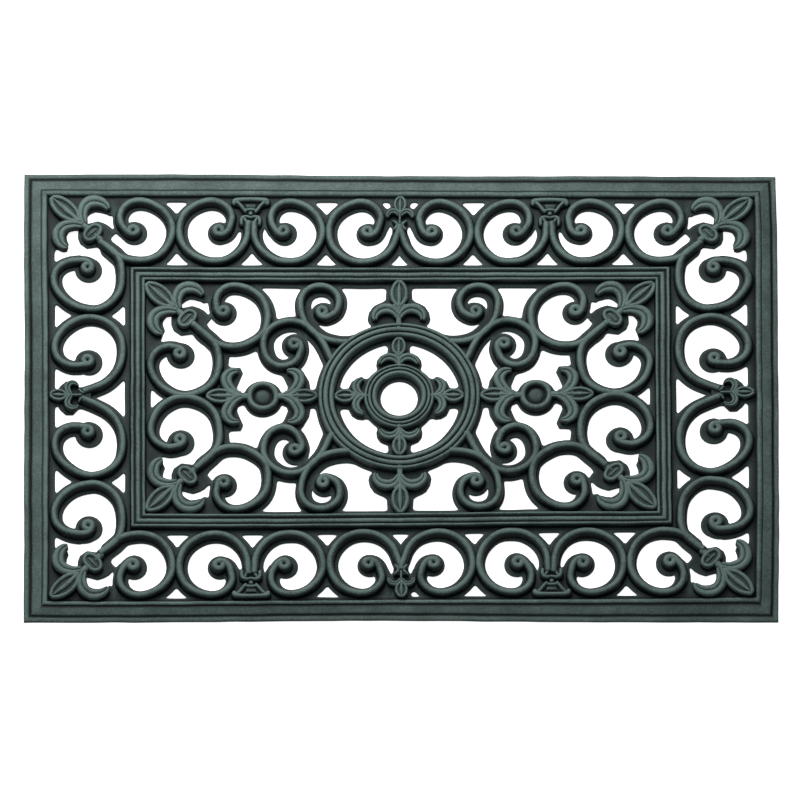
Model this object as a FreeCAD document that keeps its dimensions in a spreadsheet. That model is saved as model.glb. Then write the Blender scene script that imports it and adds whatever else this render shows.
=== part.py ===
import FreeCAD, Part
import Sketcher
import math
import os

V = FreeCAD.Vector
doc = FreeCAD.newDocument("Doormat")

# ---------------------------------------------------------------------------
# Driving sizes, millimetres. One moulded rubber scrollwork mat, lying flat:
# X along its length, Y across it, Z up, origin in the middle of its underside.
# ---------------------------------------------------------------------------
sheet = doc.addObject("Spreadsheet::Sheet", "Dims")
SIZES = [
    ("mat_length", 700.0),        # outside, along X
    ("mat_width", 457.4),         # outside, along Y
    ("web_thickness", 2.0),       # thin web under all of the ornament
    ("lip_height", 1.8),          # outer edge of the bevelled border
    ("groove_depth", 0.6),        # groove between lip and bevel
    ("bevel_start", 2.7),         # lower end of the bevel
    ("bevel_end", 3.9),           # upper end of the bevel
    ("ridge_height", 5.0),        # ridge that closes the bevelled border
    ("border_foot", 22.6),        # outer edge to the inner foot of the ridge
    ("border_web_x", 27.0),       # outer edge to the openings, left and right
    ("border_web_y", 24.6),       # the same, top and bottom
    ("inner_length", 508.6),      # inner frame, outside of its web, along X
    ("inner_width", 272.6),       # the same, along Y
    ("inner_frame_width", 20.6),  # inner frame from web edge to web edge
    ("rib_height", 7.6),          # outer and inner rib of that frame
    ("rib_foot", 4.7),            # its web edge to the foot of the rib
    ("mid_rib_drop", 0.9),        # the middle rib is this much lower
    ("bead_height", 8.8),         # crest of the scroll bars
    ("bead_half", 3.9),           # half width of a scroll bar
    ("bead_shoulder", 5.0),       # height where its round top begins
    ("foot_half", 5.9),           # half width of the web under a scroll bar
    ("volute_radius", 7.0),       # rolled end of a scroll
    ("volute_height", 8.6),
    ("leaf_height", 8.4),         # fleur-de-lis leaves and petals
    ("collar_height", 8.0),
    ("ring_height", 9.3),         # centre medallion
    ("ring_outer", 78.2),         # radii of the medallion ring
    ("ring_inner", 56.6),
    ("hub_outer", 35.2),          # radii of the hub ring
    ("hub_hole", 17.2),
    ("hub_height", 9.1),
    ("boss_radius", 16.4),
    ("grid_step", 0.9344),       # one step of the scroll drawing
]
for i, (alias, value) in enumerate(SIZES, 1):
    sheet.set("A%d" % i, alias)
    sheet.set("B%d" % i, str(value))
    sheet.setAlias("B%d" % i, alias)
doc.recompute()


def size(alias):
    return float(getattr(sheet, alias))


HX, HY = size("mat_length") / 2, size("mat_width") / 2
WEB = size("web_thickness")
EMBED = WEB - 0.5             # relief starts inside the web
G = size("grid_step")
BIG = 30.0
X1, Y1 = V(1, 0, 0), V(0, 1, 0)
parts = []                    # every sub-part in the order it is written


def add(obj, label):
    obj.Label = label
    parts.append(obj)
    return obj


def mirrored(label, source, normal):
    obj = doc.addObject("Part::Mirroring", label)
    obj.Source = source
    obj.Base = V(0, 0, 0)
    obj.Normal = normal
    return add(obj, label)


def plane(body, role):
    for f in body.Origin.OriginFeatures:
        if f.Role == role:
            return f
    raise RuntimeError(role)


def sketch_on(body, role, name):
    sk = body.newObject("Sketcher::SketchObject", name)
    sk.AttachmentSupport = [(plane(body, role), "")]
    sk.MapMode = "FlatFace"
    return sk


def outline_in(sk, pts):
    """Closed outline of straight edges. Each point is (x, y); a coordinate
    given as (value, formula) is held by a constraint bound to the sheet."""
    val = [[c[0] if isinstance(c, tuple) else c for c in p] for p in pts]
    n = len(pts)
    first = sk.GeometryCount
    for k in range(n):
        a, b = val[k], val[(k + 1) % n]
        sk.addGeometry(Part.LineSegment(V(a[0], a[1], 0), V(b[0], b[1], 0)), False)
    for k in range(n):
        sk.addConstraint(Sketcher.Constraint("Coincident", first + k, 2, first + (k + 1) % n, 1))
    for k in range(n):
        for axis, kind in ((0, "DistanceX"), (1, "DistanceY")):
            bound = isinstance(pts[k][axis], tuple)
            c = sk.addConstraint(Sketcher.Constraint(kind, -1, 1, first + k, 1, val[k][axis]))
            if bound:
                name = "p%d_%d_%s" % (first, k, "xy"[axis])
                sk.renameConstraint(c, name)
                sk.setExpression("Constraints." + name, pts[k][axis][1])
    return first


# ---------------------------------------------------------------------------
# Flat drawing helpers
# ---------------------------------------------------------------------------
def P(x, y, z=0.0):
    return V(x * G, y * G, z)


def chain(start, heading, arcs):
    """Tangent arcs: start point and radii in grid steps, angles in degrees."""
    x, y = start[0] * G, start[1] * G
    th = math.radians(heading)
    segs = []
    for r, sweep in arcs:
        r *= G
        ph = math.radians(sweep)
        sg = 1.0 if ph > 0 else -1.0
        cx, cy = x - math.sin(th) * r * sg, y + math.cos(th) * r * sg
        segs.append((cx, cy, r, sg, th, ph))
        th += ph
        x, y = cx + math.sin(th) * r * sg, cy - math.cos(th) * r * sg
    return segs


def offset_arc(seg, off, back=False):
    """Arc beside a segment; off > 0 lies to the left of the heading."""
    cx, cy, r, sg, th, ph = seg
    rr = r - off if sg > 0 else r + off
    pts = []
    for f in (0.0, 0.5, 1.0):
        a = th + ph * f
        pts.append(V(cx + math.sin(a) * rr * sg, cy - math.cos(a) * rr * sg, 0))
    if back:
        pts.reverse()
    return Part.Arc(pts[0], pts[1], pts[2]).toShape(), pts[0], pts[2]


def strip(segs, half):
    """Flat band of constant width along a chain, rounded at its far end."""
    edges, start = [], None
    for s in segs:
        e, p, right_end = offset_arc(s, -half)
        start = p if start is None else start
        edges.append(e)
    back, left_end = [], None
    for s in reversed(segs):
        e, p, left_start = offset_arc(s, half, True)
        left_end = p if left_end is None else left_end
        back.append(e)
    cx, cy, r, sg, th, ph = segs[-1]
    a = th + ph
    tip = V((right_end.x + left_end.x) / 2 + math.cos(a) * half, (right_end.y + left_end.y) / 2 + math.sin(a) * half, 0)
    edges.append(Part.Arc(right_end, tip, left_end).toShape())
    edges += back
    edges.append(Part.LineSegment(left_start, start).toShape())
    return Part.Face(Part.Wire(edges))


def bar_profile(x, y, th, less=0.0):
    """Scroll bar section across the heading: upright sides, round top."""
    h, b, s = size("bead_height") - less, size("bead_half") - less, size("bead_shoulder")
    nx, ny = -math.sin(th), math.cos(th)

    def q(o, z):
        return V(x + nx * o, y + ny * o, z)
    e = [Part.LineSegment(q(-b - 0.3, EMBED), q(-b, s)).toShape(),
         Part.Arc(q(-b, s), q(0, h), q(b, s)).toShape(),
         Part.LineSegment(q(b, s), q(b + 0.3, EMBED)).toShape(),
         Part.LineSegment(q(b + 0.3, EMBED), q(-b - 0.3, EMBED)).toShape()]
    return Part.Wire(e)


def bar(segs):
    """Scroll bar: the section turned about the centre of each arc."""
    out = []
    for cx, cy, r, sg, th, ph in segs:
        x, y = cx + math.sin(th) * r * sg, cy - math.cos(th) * r * sg
        f = Part.Face(bar_profile(x, y, th))
        out.append(f.revolve(V(cx, cy, 0), V(0, 0, 1), math.degrees(ph)))
    return out[0].multiFuse(out[1:]).removeSplitter()


def straight_bar(p, q):
    """Straight run of the same bar between two grid points."""
    a, d = P(*p), P(*q).sub(P(*p))
    return Part.Face(bar_profile(a.x, a.y, math.atan2(d.y, d.x), 0.25)).extrude(d)


def straight_web(p, q, half):
    a, b = P(*p), P(*q)
    d = b.sub(a)
    th = math.atan2(d.y, d.x)
    nx, ny = -math.sin(th) * half, math.cos(th) * half
    pts = [V(a.x + nx, a.y + ny, 0), V(b.x + nx, b.y + ny, 0), V(b.x - nx, b.y - ny, 0), V(a.x - nx, a.y - ny, 0)]
    return Part.Face(Part.makePolygon(pts + [pts[0]]))


def disc(x, y, r):
    return Part.Face(Part.Wire([Part.makeCircle(r, P(x, y))]))


def turned(profile_edges, x, y):
    s = Part.Face(Part.Wire(profile_edges)).revolve(V(0, 0, 0), V(0, 0, 1), 360)
    s.translate(P(x, y))
    return s


def line(a, b):
    return Part.LineSegment(V(a[0], 0, a[1]), V(b[0], 0, b[1])).toShape()


def bow(a, b, c):
    return Part.Arc(V(a[0], 0, a[1]), V(b[0], 0, b[1]), V(c[0], 0, c[1])).toShape()


def volute(x, y):
    """Rolled end of a scroll: a dome with a small dimple."""
    r, h = size("volute_radius"), size("volute_height")
    return turned([line((0, EMBED), (r + 0.3, EMBED)), line((r + 0.3, EMBED), (r, 4.8)), bow((r, 4.8), (r * 0.8, h - 1.0), (r * 0.42, h)),
                   line((r * 0.42, h), (0, h - 1.8)), line((0, h - 1.8), (0, EMBED))], x, y)


def outline(pts):
    """Smooth closed outline through grid points."""
    c = Part.BSplineCurve()
    c.interpolate([P(*p) for p in pts], PeriodicFlag=True)
    return Part.Face(Part.Wire([c.toShape()]))


def poly(pts):
    v = [P(*p) for p in pts]
    return Part.Face(Part.makePolygon(v + [v[0]]))


def prism(face, z0, z1):
    f = face.copy()
    f.translate(V(0, 0, z0))
    return f.extrude(V(0, 0, z1 - z0))


def eased(solid, z_top, amount):
    """Eases the top edges of a leaf where its outline allows it."""
    try:
        edges = [e for e in solid.Edges if min(v.Z for v in e.Vertexes) > z_top - 0.01]
        s = solid.makeChamfer(amount, edges)
        if s.isValid() and 0 < s.Volume < solid.Volume:
            return s
    except Exception:
        pass
    return solid


def flip(shape, normal):
    return shape.mirror(V(0, 0, 0), normal)


def rect(x0, x1, y0, y1):
    """Flat rectangle, millimetres."""
    pts = [V(x0, y0, 0), V(x1, y0, 0), V(x1, y1, 0), V(x0, y1, 0)]
    return Part.Face(Part.makePolygon(pts + [pts[0]]))


def zone(x0, x1, y0, y1):
    """Flat rectangle between lines of the scroll drawing."""
    return rect(x0 * G, x1 * G, y0 * G, y1 * G)


def circle(r):
    return Part.Face(Part.Wire([Part.makeCircle(r)]))


# inner foot of the border ridge, and the two feet of the inner frame
FX, FY = HX - size("border_foot"), HY - size("border_foot")
IX, IY = size("inner_length") / 2, size("inner_width") / 2
IFW, RFOOT = size("inner_frame_width"), size("rib_foot")
KX, KY = IX - RFOOT, IY - RFOOT
MX, MY = IX - IFW + RFOOT, IY - IFW + RFOOT
inside_border = rect(-FX, FX, -FY, FY)
inside_inner = rect(-MX, MX, -MY, MY)
border_field = inside_border.cut(rect(-KX, KX, -KY, KY))
ring_disc, ring_hole, hub_disc = circle(size("ring_outer")), circle(size("ring_inner")), circle(size("hub_outer"))

plans = {}        # ground plan of every ornament, in the plane z = 0


def flat_region(faces, within, without=()):
    """Ground plan of a piece: its outlines joined, trimmed to its own area
    and cut back where a neighbour already stands."""
    s = faces[0].multiFuse(faces[1:]) if len(faces) > 1 else faces[0]
    s = s.common(within)
    for w in without:
        s = s.cut(w)
    s = s.removeSplitter()
    return max(s.Faces, key=lambda f: f.Area)


def web_of(label, plan):
    """Web of one piece: its ground plan extruded to the web's thickness."""
    drawn = doc.addObject("Part::Feature", label + "_plan")
    drawn.Shape = plan
    web = doc.addObject("Part::Extrusion", label + "_web")
    web.Base = drawn
    web.DirMode = "Custom"
    web.Dir = V(0, 0, 1)
    web.Solid = True
    web.setExpression("LengthFwd", "Dims.web_thickness")
    return web


def joined_relief(label, items):
    """Relief pieces joined one after another, each join checked by volume."""
    s = items[0]
    for it in items[1:]:
        for nudge in (0.0, 0.03, 0.07, 0.12):
            moved = it.copy()
            moved.translate(V(nudge * 0.4, nudge * 0.3, -nudge))
            t = s.fuse(moved)
            if t.isValid() and 0.98 * max(s.Volume, it.Volume) < t.Volume < 1.02 * (s.Volume + it.Volume):
                break
        else:
            raise RuntimeError("%s: relief at %s did not join" % (label, it.BoundBox.Center))
        s = t
    return s


def overhang(solid, plan):
    """Area of a relief piece's underside that lies outside the ground plan."""
    low = [f.copy() for f in solid.Faces if f.BoundBox.ZLength < 0.001 and abs(f.BoundBox.ZMin - EMBED) < 0.001]
    area = 0.0
    for f in low:
        f.translate(V(0, 0, -EMBED))
        area += f.cut(plan).Area
    return area


def ornament(label, solids, faces, within, without=(), refine=True):
    """Web with the relief fused on top, as one moulded piece."""
    plan = flat_region(faces, within, [plans[n] if isinstance(n, str) else n for n in without])
    plans[label.replace("_upper_left", "")] = plan
    land = prism(plan, -1.0, BIG)
    relief = []
    for s in solids:
        if overhang(s, plan) > 0.5:
            t, rest = s.common(land), s.cut(land)
            if abs(t.Volume + rest.Volume - s.Volume) > 0.05 * s.Volume:
                t, rest = s.common((land,), 0.002), s.cut((land,), 0.002)
            if abs(t.Volume + rest.Volume - s.Volume) > 0.05 * s.Volume:
                raise RuntimeError("%s: a relief piece at %s was trimmed wrongly" % (label, s.BoundBox.Center))
            relief += [x for x in t.Solids if x.Volume > 3.0]
        else:
            relief += s.Solids
    web = web_of(label, plan)
    top = doc.addObject("Part::Feature", label + "_relief")
    joined = joined_relief(label, relief)
    top.Shape = joined
    whole = doc.addObject("Part::Fuse", label)
    whole.Base = web
    whole.Tool = top
    whole.Refine = refine
    whole.Placement = FreeCAD.Placement(V(0, 0, 0), FreeCAD.Rotation())
    doc.recompute()
    if not whole.Shape.isValid():
        whole.Refine = False
        doc.recompute()
    if whole.Shape.Volume < web.Shape.Volume + 0.6 * joined.Volume or len(whole.Shape.Solids) != 1:
        raise RuntimeError("%s: web and relief did not join (%d solids, %.0f of %.0f + %.0f mm3)" % (
            label, len(whole.Shape.Solids), whole.Shape.Volume, web.Shape.Volume, joined.Volume))
    return add(whole, label)


# ---------------------------------------------------------------------------
# Centre medallion: two turned rings
# ---------------------------------------------------------------------------
def turned_ring(label, inner, outer, height, crown):
    """crown: (distance from the outer edge, drop below the crest) pairs."""
    body = add(doc.addObject("PartDesign::Body", label), label)
    sk = sketch_on(body, "XZ_Plane", label + "_profile")
    ri, ro, top = size(inner), size(outer), size(height)
    pts = [((ri, "Dims." + inner), 0), ((ro, "Dims." + outer), 0), ((ro, "Dims." + outer), (WEB, "Dims.web_thickness"))]
    for d, drop in crown:
        x = (ro - d, "Dims.%s - %g" % (outer, d))
        pts.append((x, (WEB, "Dims.web_thickness")) if drop is None else (x, (top - drop, "Dims.%s - %g" % (height, drop))))
    pts.append(((ri, "Dims." + inner), (WEB, "Dims.web_thickness")))
    outline_in(sk, pts)
    rev = body.newObject("PartDesign::Revolution", label + "_turn")
    rev.Profile = sk
    rev.ReferenceAxis = (plane(body, "Z_Axis"), [""])
    rev.Angle = 360.0
    body.Tip = rev
    return body


turned_ring("medallion_ring", "ring_inner", "ring_outer", "ring_height",
            [(2.2, None), (2.9, 1.7), (3.9, 0.7), (5.3, 0.4), (6.3, 1.1), (6.8, 1.9), (7.6, 0.9), (8.3, 0), (11.4, 0), (12.0, 0.8), (12.8, 1.7),
             (13.3, 0.9), (14.4, 0.3), (15.9, 0.3), (17.2, 1.1), (17.9, 2.3), (18.5, None)])
turned_ring("hub_ring", "hub_hole", "hub_outer", "hub_height",
            [(1.9, None), (2.5, 1.7), (3.5, 0.7), (4.6, 0.7), (5.4, 1.3), (5.9, 2.0), (6.5, 1.1), (7.3, 0.5), (8.2, 0.5), (8.8, 1.1), (9.3, 1.9),
             (9.9, 0.9), (10.9, 0), (12.3, 0), (13.4, 0.9), (14.3, 2.5), (14.9, None)])
doc.recompute()

# ---------------------------------------------------------------------------
# Fleurs-de-lis
# ---------------------------------------------------------------------------
LEAF, CH = size("leaf_height"), size("collar_height")


def local(origin, axis_deg):
    ca, sa = math.cos(math.radians(axis_deg)), math.sin(math.radians(axis_deg))

    def q(s, t):
        return (origin[0] + ca * s - sa * t, origin[1] + sa * s + ca * t)
    return q


def leaf(base, tip, half, ease=1.2):
    """Pointed leaf between two grid points: raised rim, two slits, mid rib."""
    L = math.hypot(tip[0] - base[0], tip[1] - base[1])
    q = local(base, math.degrees(math.atan2(tip[1] - base[1], tip[0] - base[0])))
    side = [(0, 0.30), (0.16, 0.74), (0.42, 1.0), (0.68, 0.82), (0.90, 0.36)]
    pts = [q(a * L, b * half) for a, b in side] + [q(L, 0)] + [q(a * L, -b * half) for a, b in reversed(side)]
    face = outline(pts)
    s = prism(face, EMBED, LEAF)
    s = eased(s, LEAF, ease) if ease else s
    for sg in (1, -1):
        a = [q(0.14 * L, sg * 0.20 * half), q(0.45 * L, sg * 0.62 * half), q(0.84 * L, sg * 0.20 * half), q(0.45 * L, sg * 0.30 * half)]
        s = s.cut(prism(poly(a), LEAF - 2.2, LEAF + 1))
    return s, face


def petals(q, half_outline, ease=0.8):
    """A mirrored pair of curled petals drawn in local coordinates."""
    solids, faces = [], []
    for sg in (1, -1):
        pts = [q(a, sg * b) for a, b in half_outline]
        if sg < 0:
            pts.reverse()
        f = outline(pts)
        s = prism(f, EMBED, LEAF - 0.3)
        solids.append(eased(s, LEAF - 0.3, ease) if ease else s)
        faces.append(f)
    return solids, faces


def both_sides(q, half_outline):
    return poly([q(a, b) for a, b in half_outline] + [q(a, -b) for a, b in reversed(half_outline)])


def corner_fleur(origin):
    """Leaf, two curled petals and an oblong collar on the diagonal."""
    q = local(origin, 137.0)
    s, f = leaf(q(25, 0), q(57, 0), 8.6)
    solids, faces = [s], [f]
    ps, pf = petals(q, [(13, 1.5), (20, 4.5), (26, 8), (31.5, 14), (33.5, 21), (31, 27.5), (25, 31), (17, 31), (9.5, 28.5), (8, 25.5), (11, 23.5),
                        (18.5, 23.5), (22, 20), (22.5, 15), (18.5, 10), (11.5, 5.5), (8.5, 2.5)])
    rim = outline([q(a, b) for a, b in [(-8, 0), (-7, 7.5), (-2, 11.5), (4, 10.5), (7.5, 5), (8.5, 0), (7.5, -5), (4, -10.5), (-2, -11.5), (-7, -7.5)]])
    slot = outline([q(a, b) for a, b in [(-3.2, 0), (-2.8, 6.2), (0, 7.6), (2.8, 6.2), (3.2, 0), (2.8, -6.2), (0, -7.6), (-2.8, -6.2)]])
    c = eased(prism(rim, EMBED, CH), CH, 0.9).cut(prism(slot, CH - 1.4, BIG))
    c = c.fuse(prism(poly([q(-1.1, -5.6), q(1.1, -5.6), q(1.1, 5.6), q(-1.1, 5.6)]), CH - 2.0, CH - 0.3))
    web = [(-13.5, 0), (-12.5, 8), (-7, 14.5), (1, 15.5), (8, 13), (14, 12.5), (17.5, 17), (15.5, 21), (9, 20.5), (3, 24.5), (1.5, 30.5),
           (4, 38), (22, 46), (40, 38), (52, 26), (66, 12), (70, 0)]
    ground = outline([q(a, b) for a, b in web] + [q(a, -b) for a, b in reversed(web[1:-1])])
    return solids + ps + [c], faces + pf + [rim, ground]


def axis_fleur(origin, axis_deg, leaf_span, half, petal, web, ease=0.8):
    """Leaf on an axis with a mirrored pair of petals."""
    q = local(origin, axis_deg)
    s, f = leaf(q(leaf_span[0], 0), q(leaf_span[1], 0), half, ease)
    ps, pf = petals(q, petal, ease)
    return [s] + ps, [f] + pf + [both_sides(q, web)]


ocf = ornament("outer_corner_fleur_upper_left", *corner_fleur((-305.5, 181.0)), inside_border)
icf = ornament("inner_corner_fleur_upper_left", *corner_fleur((-210.8, 86.6)), inside_inner)

axf = ornament("axis_fleur_top", *axis_fleur(
    (0, 82), 90, (20, 45), 9.2,
    [(7.5, 1.5), (10, 5), (15.5, 8), (19.5, 13.5), (19.5, 20), (15.5, 25.5), (8, 28), (3, 26), (4, 22), (9.5, 20.5), (12, 16), (10, 10.5), (4, 6.5), (1, 3)],
    [(-10, 9), (-4, 9.5), (-2, 13), (-6, 24), (-4, 31), (6, 32), (15, 29), (24, 21), (29, 12), (40, 12), (55, 12)]), inside_inner, [ring_disc])

ring_petal = [(6, 1.5), (8.5, 5), (11.5, 10), (11.5, 15), (8, 19.5), (3, 21.5), (0.5, 19), (3, 15.5), (5.5, 11.5), (4, 7), (1, 3)]
ring_web = [(-6, 22), (4, 23), (12, 18.5), (16, 11), (30, 10.5), (36, 10.5)]
rft = ornament("ring_fleur_top", *axis_fleur((0, 34), 90, (9, 31.5), 8.0, ring_petal, ring_web, 0), ring_hole, [hub_disc])
rfl = ornament("ring_fleur_left", *axis_fleur((-34, 0), 180, (9, 31.5), 8.0, ring_petal, ring_web, 0), ring_hole, [hub_disc])

tsf = ornament("long_side_fleur_top", *axis_fleur(
    (0, 200), 90, (4, 22), 7.2, [(3, 1.2), (5, 5), (7.5, 9.5), (6, 13.5), (1.5, 14.5), (-1, 12), (1.5, 10), (2.5, 7.5), (0, 4.5)],
    [(-14, 6), (-4, 11), (0, 17), (6, 17), (10, 12), (12, 9.5), (30, 10)], 0), inside_border)
lsf = ornament("short_side_fleur_left", *axis_fleur(
    (-329, 0), 180, (3, 23), 6.6, [(3, 1.2), (5, 5), (6.5, 9.5), (4.5, 14), (-0.5, 15), (-3.5, 12), (-1.5, 9.5), (0.5, 8), (-1, 4.5)],
    [(-16, 6), (-8, 12), (-3, 18), (4, 18), (9.5, 13), (12, 9), (40, 9)], 0), inside_border)

# double fleur with its round boss, left of the medallion
bx, br = -136.5, size("boss_radius")
boss = turned([line((0, EMBED), (br + 0.4, EMBED)), line((br + 0.4, EMBED), (br, 5.0)), bow((br, 5.0), (br - 0.9, 7.5), (br - 2.6, 8.3)),
               line((br - 2.6, 8.3), (br - 4.6, 8.3)), line((br - 4.6, 8.3), (br - 6.6, 4.2)), line((br - 6.6, 4.2), (br - 8.2, 4.2)),
               line((br - 8.2, 4.2), (br - 9.2, 6.4)), line((br - 9.2, 6.4), (4.6, 7.8)), line((4.6, 7.8), (0, 8.3)), line((0, 8.3), (0, EMBED))], bx, 0)
solids, faces = [boss], [disc(bx, 0, br + 1.8)]
for facing, reach in ((0, 55.5), (180, 59.5)):
    q = local((bx, 0), facing)
    s, f = leaf(q(33, 0), q(reach, 0), 7.6)
    ps, pf = petals(q, [(14, 2), (22, 5.5), (26.5, 10.5), (26.5, 17), (22.5, 24), (22, 30), (26.5, 32.5), (33, 30.5), (39, 25), (43, 17), (43.5, 10),
                        (40, 4.5), (34, 1), (24, 0.2)], 0)
    solids += [s] + ps
    faces += [f] + pf + [both_sides(q, [(12, 10), (22, 8), (24, 12), (20.5, 22), (19.5, 29), (24, 35), (33, 33.5), (41, 28), (46.5, 18), (48, 9), (62, 9)])]
bsf = ornament("boss_fleur_left", solids, faces, inside_inner, [ring_disc])

# vase collar that ties two border scrolls together
cx = -149.3
cup = poly([(cx + a, b) for a, b in [(-14, 223), (14, 223), (14, 214.5), (10.5, 212.5), (7, 209.5), (5, 204.5), (-5, 204.5), (-7, 209.5), (-10.5, 212.5), (-14, 214.5)]])
cups = eased(prism(cup, EMBED, CH), CH, 0.7).cut(prism(poly([(cx - 6, 216.5), (cx + 6, 216.5), (cx + 3, 209.5), (cx - 3, 209.5)]), CH - 2.0, BIG))
knob = outline([(cx + a, b) for a, b in [(0, 205), (6.5, 200.5), (9, 195.5), (6.5, 190), (0, 188), (-6.5, 190), (-9, 195.5), (-6.5, 200.5)]])
ground = poly([(cx - 14.5, 223), (cx + 14.5, 223), (cx + 14.5, 198), (cx + 12, 186), (cx - 12, 186), (cx - 14.5, 198)])
vsc = ornament("vase_collar_upper_left", [cups, eased(prism(knob, EMBED, CH), CH, 1.2)], [cup, knob, ground], inside_border)

# ---------------------------------------------------------------------------
# Scrolls of the upper left quarter (grid steps, crest lines)
# ---------------------------------------------------------------------------
SCROLL = {
    "S1": ((-293.26, 160.77), 326.84, [(67.3, 27.24), (33.11, 53.21), (28.05, 65.68), (44.13, 41.34), (20.82, 98.5), (20.4, 81.77)], (-265.6, 184.2)),
    "L1": ((-287.37, 157.08), 307.41, [(48.5, -37.74), (30.11, -60.62), (34.02, -52.03), (39.38, -46.19), (20.69, -95.79), (31.86, -46.47)], (-311.3, 141.6)),
    "L2": ((-305.29, 11.3), 19.57, [(46.02, 43.81), (31.85, 65.52), (41.97, 46.24), (31.62, 57.64), (24.36, 100.44), (21.56, 76.58)], (-311.0, 41.6)),
    "S2": ((-149.44, 188.09), 264.6, [(47.53, -41.61), (31.84, -63.55), (38.04, -55.56), (29.35, -68.46), (29.44, -66.71), (16.08, -121.73)], (-180.2, 183.9)),
    "S3": ((-147.45, 187.01), 267.1, [(36.49, 58.44), (34.32, 69.69), (30.78, 77.51), (39.39, 38.29), (21.76, 63.56), (19.93, 119.27)], (-116.0, 183.4)),
    "S4": ((-0.13, 186.55), 258.13, [(58.84, -32.36), (28.0, -60.05), (40.12, -47.83), (29.64, -80.34), (28.0, -85.97), (11.08, -127.36)], (-32.4, 183.4)),
    "A": ((-192.88, 64.22), 328.94, [(51.99, 32.66), (33.41, 47.15), (28.21, 61.24), (39.22, 46.31), (21.34, 96.75), (17.89, 82.39)], (-176.0, 93.2)),
    "B": ((-191.14, 64.01), 317.54, [(33.07, -56.68), (45.96, -41.3), (28.72, -65.35), (38.27, -47.72), (25.41, -64.57), (21.59, -87.4)], (-218.6, 46.9)),
    "C": ((-56.09, 63.17), 187.61, [(37.46, -34.69), (36.52, -37.3), (53.62, -23.72), (14.57, -88.99), (65.15, -16.61), (11.14, -78.24), (25.01, -65.72)], (-75.8, 94.4)),
    "D": ((-68.43, 44.5), 109.63, [(109.11, 13.09), (40.62, 36.49), (27.84, 56.53), (27.29, 53.27), (27.72, 49.25), (15.92, 64.66), (20.11, 81.97)], (-105.6, 57.8)),
}


def scrolls(keys, stems, webs, twin=None):
    """Bars, rolled ends and webs of the named scrolls."""
    solids, faces = [], []
    for key in keys:
        start, heading, arcs, eye = SCROLL[key]
        segs = chain(start, heading, arcs)
        solids += [bar(segs), volute(*eye)]
        faces += [strip(segs, size("foot_half")), disc(eye[0], eye[1], size("volute_radius") + 2.1)]
    for p, q in stems:
        solids.append(straight_bar(p, q))
        faces.append(straight_web(p, q, size("foot_half")))
    faces += [poly(w) for w in webs]
    if twin is not None:
        solids += [flip(s, twin) for s in solids]
        faces += [flip(f, twin) for f in faces]
    return solids, faces


csp = ornament("corner_scrolls_upper_left", *scrolls(
    ["S1", "L1"], [((-304, 178), (-291.5, 160.3)), ((-292.5, 161.5), (-286.5, 156.5))],
    [[(-227.5, 163), (-222, 163), (-222, 205), (-227.5, 205)], [(-331, 95), (-289, 95), (-289, 88), (-331, 88)], [(-281, 149), (-262, 144), (-270, 138), (-275, 130)]]),
    border_field.common(zone(-380, -224.0, 90.4, 250)), ["outer_corner_fleur"])
vsp = ornament("collar_scrolls_upper_left", *scrolls(
    ["S2", "S3"], [], [[(-226, 163), (-220.5, 163), (-220.5, 205), (-226, 205)], [(-77.5, 163), (-72, 163), (-72, 204), (-77.5, 204)],
                       [(-152.5, 162), (-146, 162), (-146, 187), (-152.5, 187)]]),
    border_field.common(zone(-224.0, -74.4, 120, 250)), ["vase_collar"])
tsp = ornament("long_side_scrolls_top", *scrolls(
    ["S4"], [], [[(-76, 163), (-71.5, 163), (-71.5, 204), (-76, 204)], [(-4, 161), (1, 161), (1, 187), (-4, 187)]], X1),
    border_field.common(zone(-74.4, 74.4, 120, 250)), ["long_side_fleur_top"])
lsp = ornament("short_side_scroll_upper_left", *scrolls(
    ["L2"], [((-319, 4.5), (-304.5, 11.6))], [[(-331, 92), (-289, 92), (-289, 85), (-331, 85)]]),
    border_field.common(zone(-380, -200, 0, 90.4)), ["short_side_fleur_left"])
isp = ornament("inner_corner_scrolls_upper_left", *scrolls(
    ["A", "B"], [((-209, 84), (-191.5, 63.5))], [[(-182, 55), (-169, 50), (-170, 36), (-176, 36)]]),
    inside_inner.common(zone(-300, -30, 0, 150)), ["inner_corner_fleur", "boss_fleur_left"])
hsp = ornament("hook_scrolls_upper_left", *scrolls(
    ["C", "D"], [((-46, 63.8), (-56.2, 63.1)), ((-66.0, 37.5), (-68.5, 44.6))],
    [[(-100, 82), (-86, 74), (-96, 66), (-104, 76)], [(-76, 62), (-58, 60), (-66, 48), (-74, 52)], [(-112, 36), (-100, 40), (-97, 28), (-112, 28)]]),
    inside_inner.common(zone(-200, -2, 1, 150)), ["inner_corner_scrolls", "boss_fleur_left", "axis_fleur_top", ring_disc])

# ---------------------------------------------------------------------------
# Mirror images in the other quarters
# ---------------------------------------------------------------------------
for a in (ocf, icf, vsc, csp, vsp, isp, hsp, lsp):
    stem = a.Label.replace("_upper_left", "")
    b = mirrored(stem + "_upper_right", a, X1)
    mirrored(stem + "_lower_left", a, Y1)
    mirrored(stem + "_lower_right", b, Y1)
for a, normal, other in ((tsp, Y1, "bottom"), (tsf, Y1, "bottom"), (axf, Y1, "bottom"), (rft, Y1, "bottom"), (lsf, X1, "right"), (bsf, X1, "right"), (rfl, X1, "right")):
    mirrored(a.Label.rsplit("_", 1)[0] + "_" + other, a, normal)

# ---------------------------------------------------------------------------
# Rails: a padded section, mitred at both ends, and the web along its openings
# ---------------------------------------------------------------------------
DIM = {n: "Dims." + n for n, _ in SIZES}


def d_from(half_alias, d, extra=""):
    """Coordinate at distance d inwards of the outer edge, bound to the sheet."""
    return "%s / 2 - %s%s" % (DIM[half_alias], d, extra)


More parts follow.
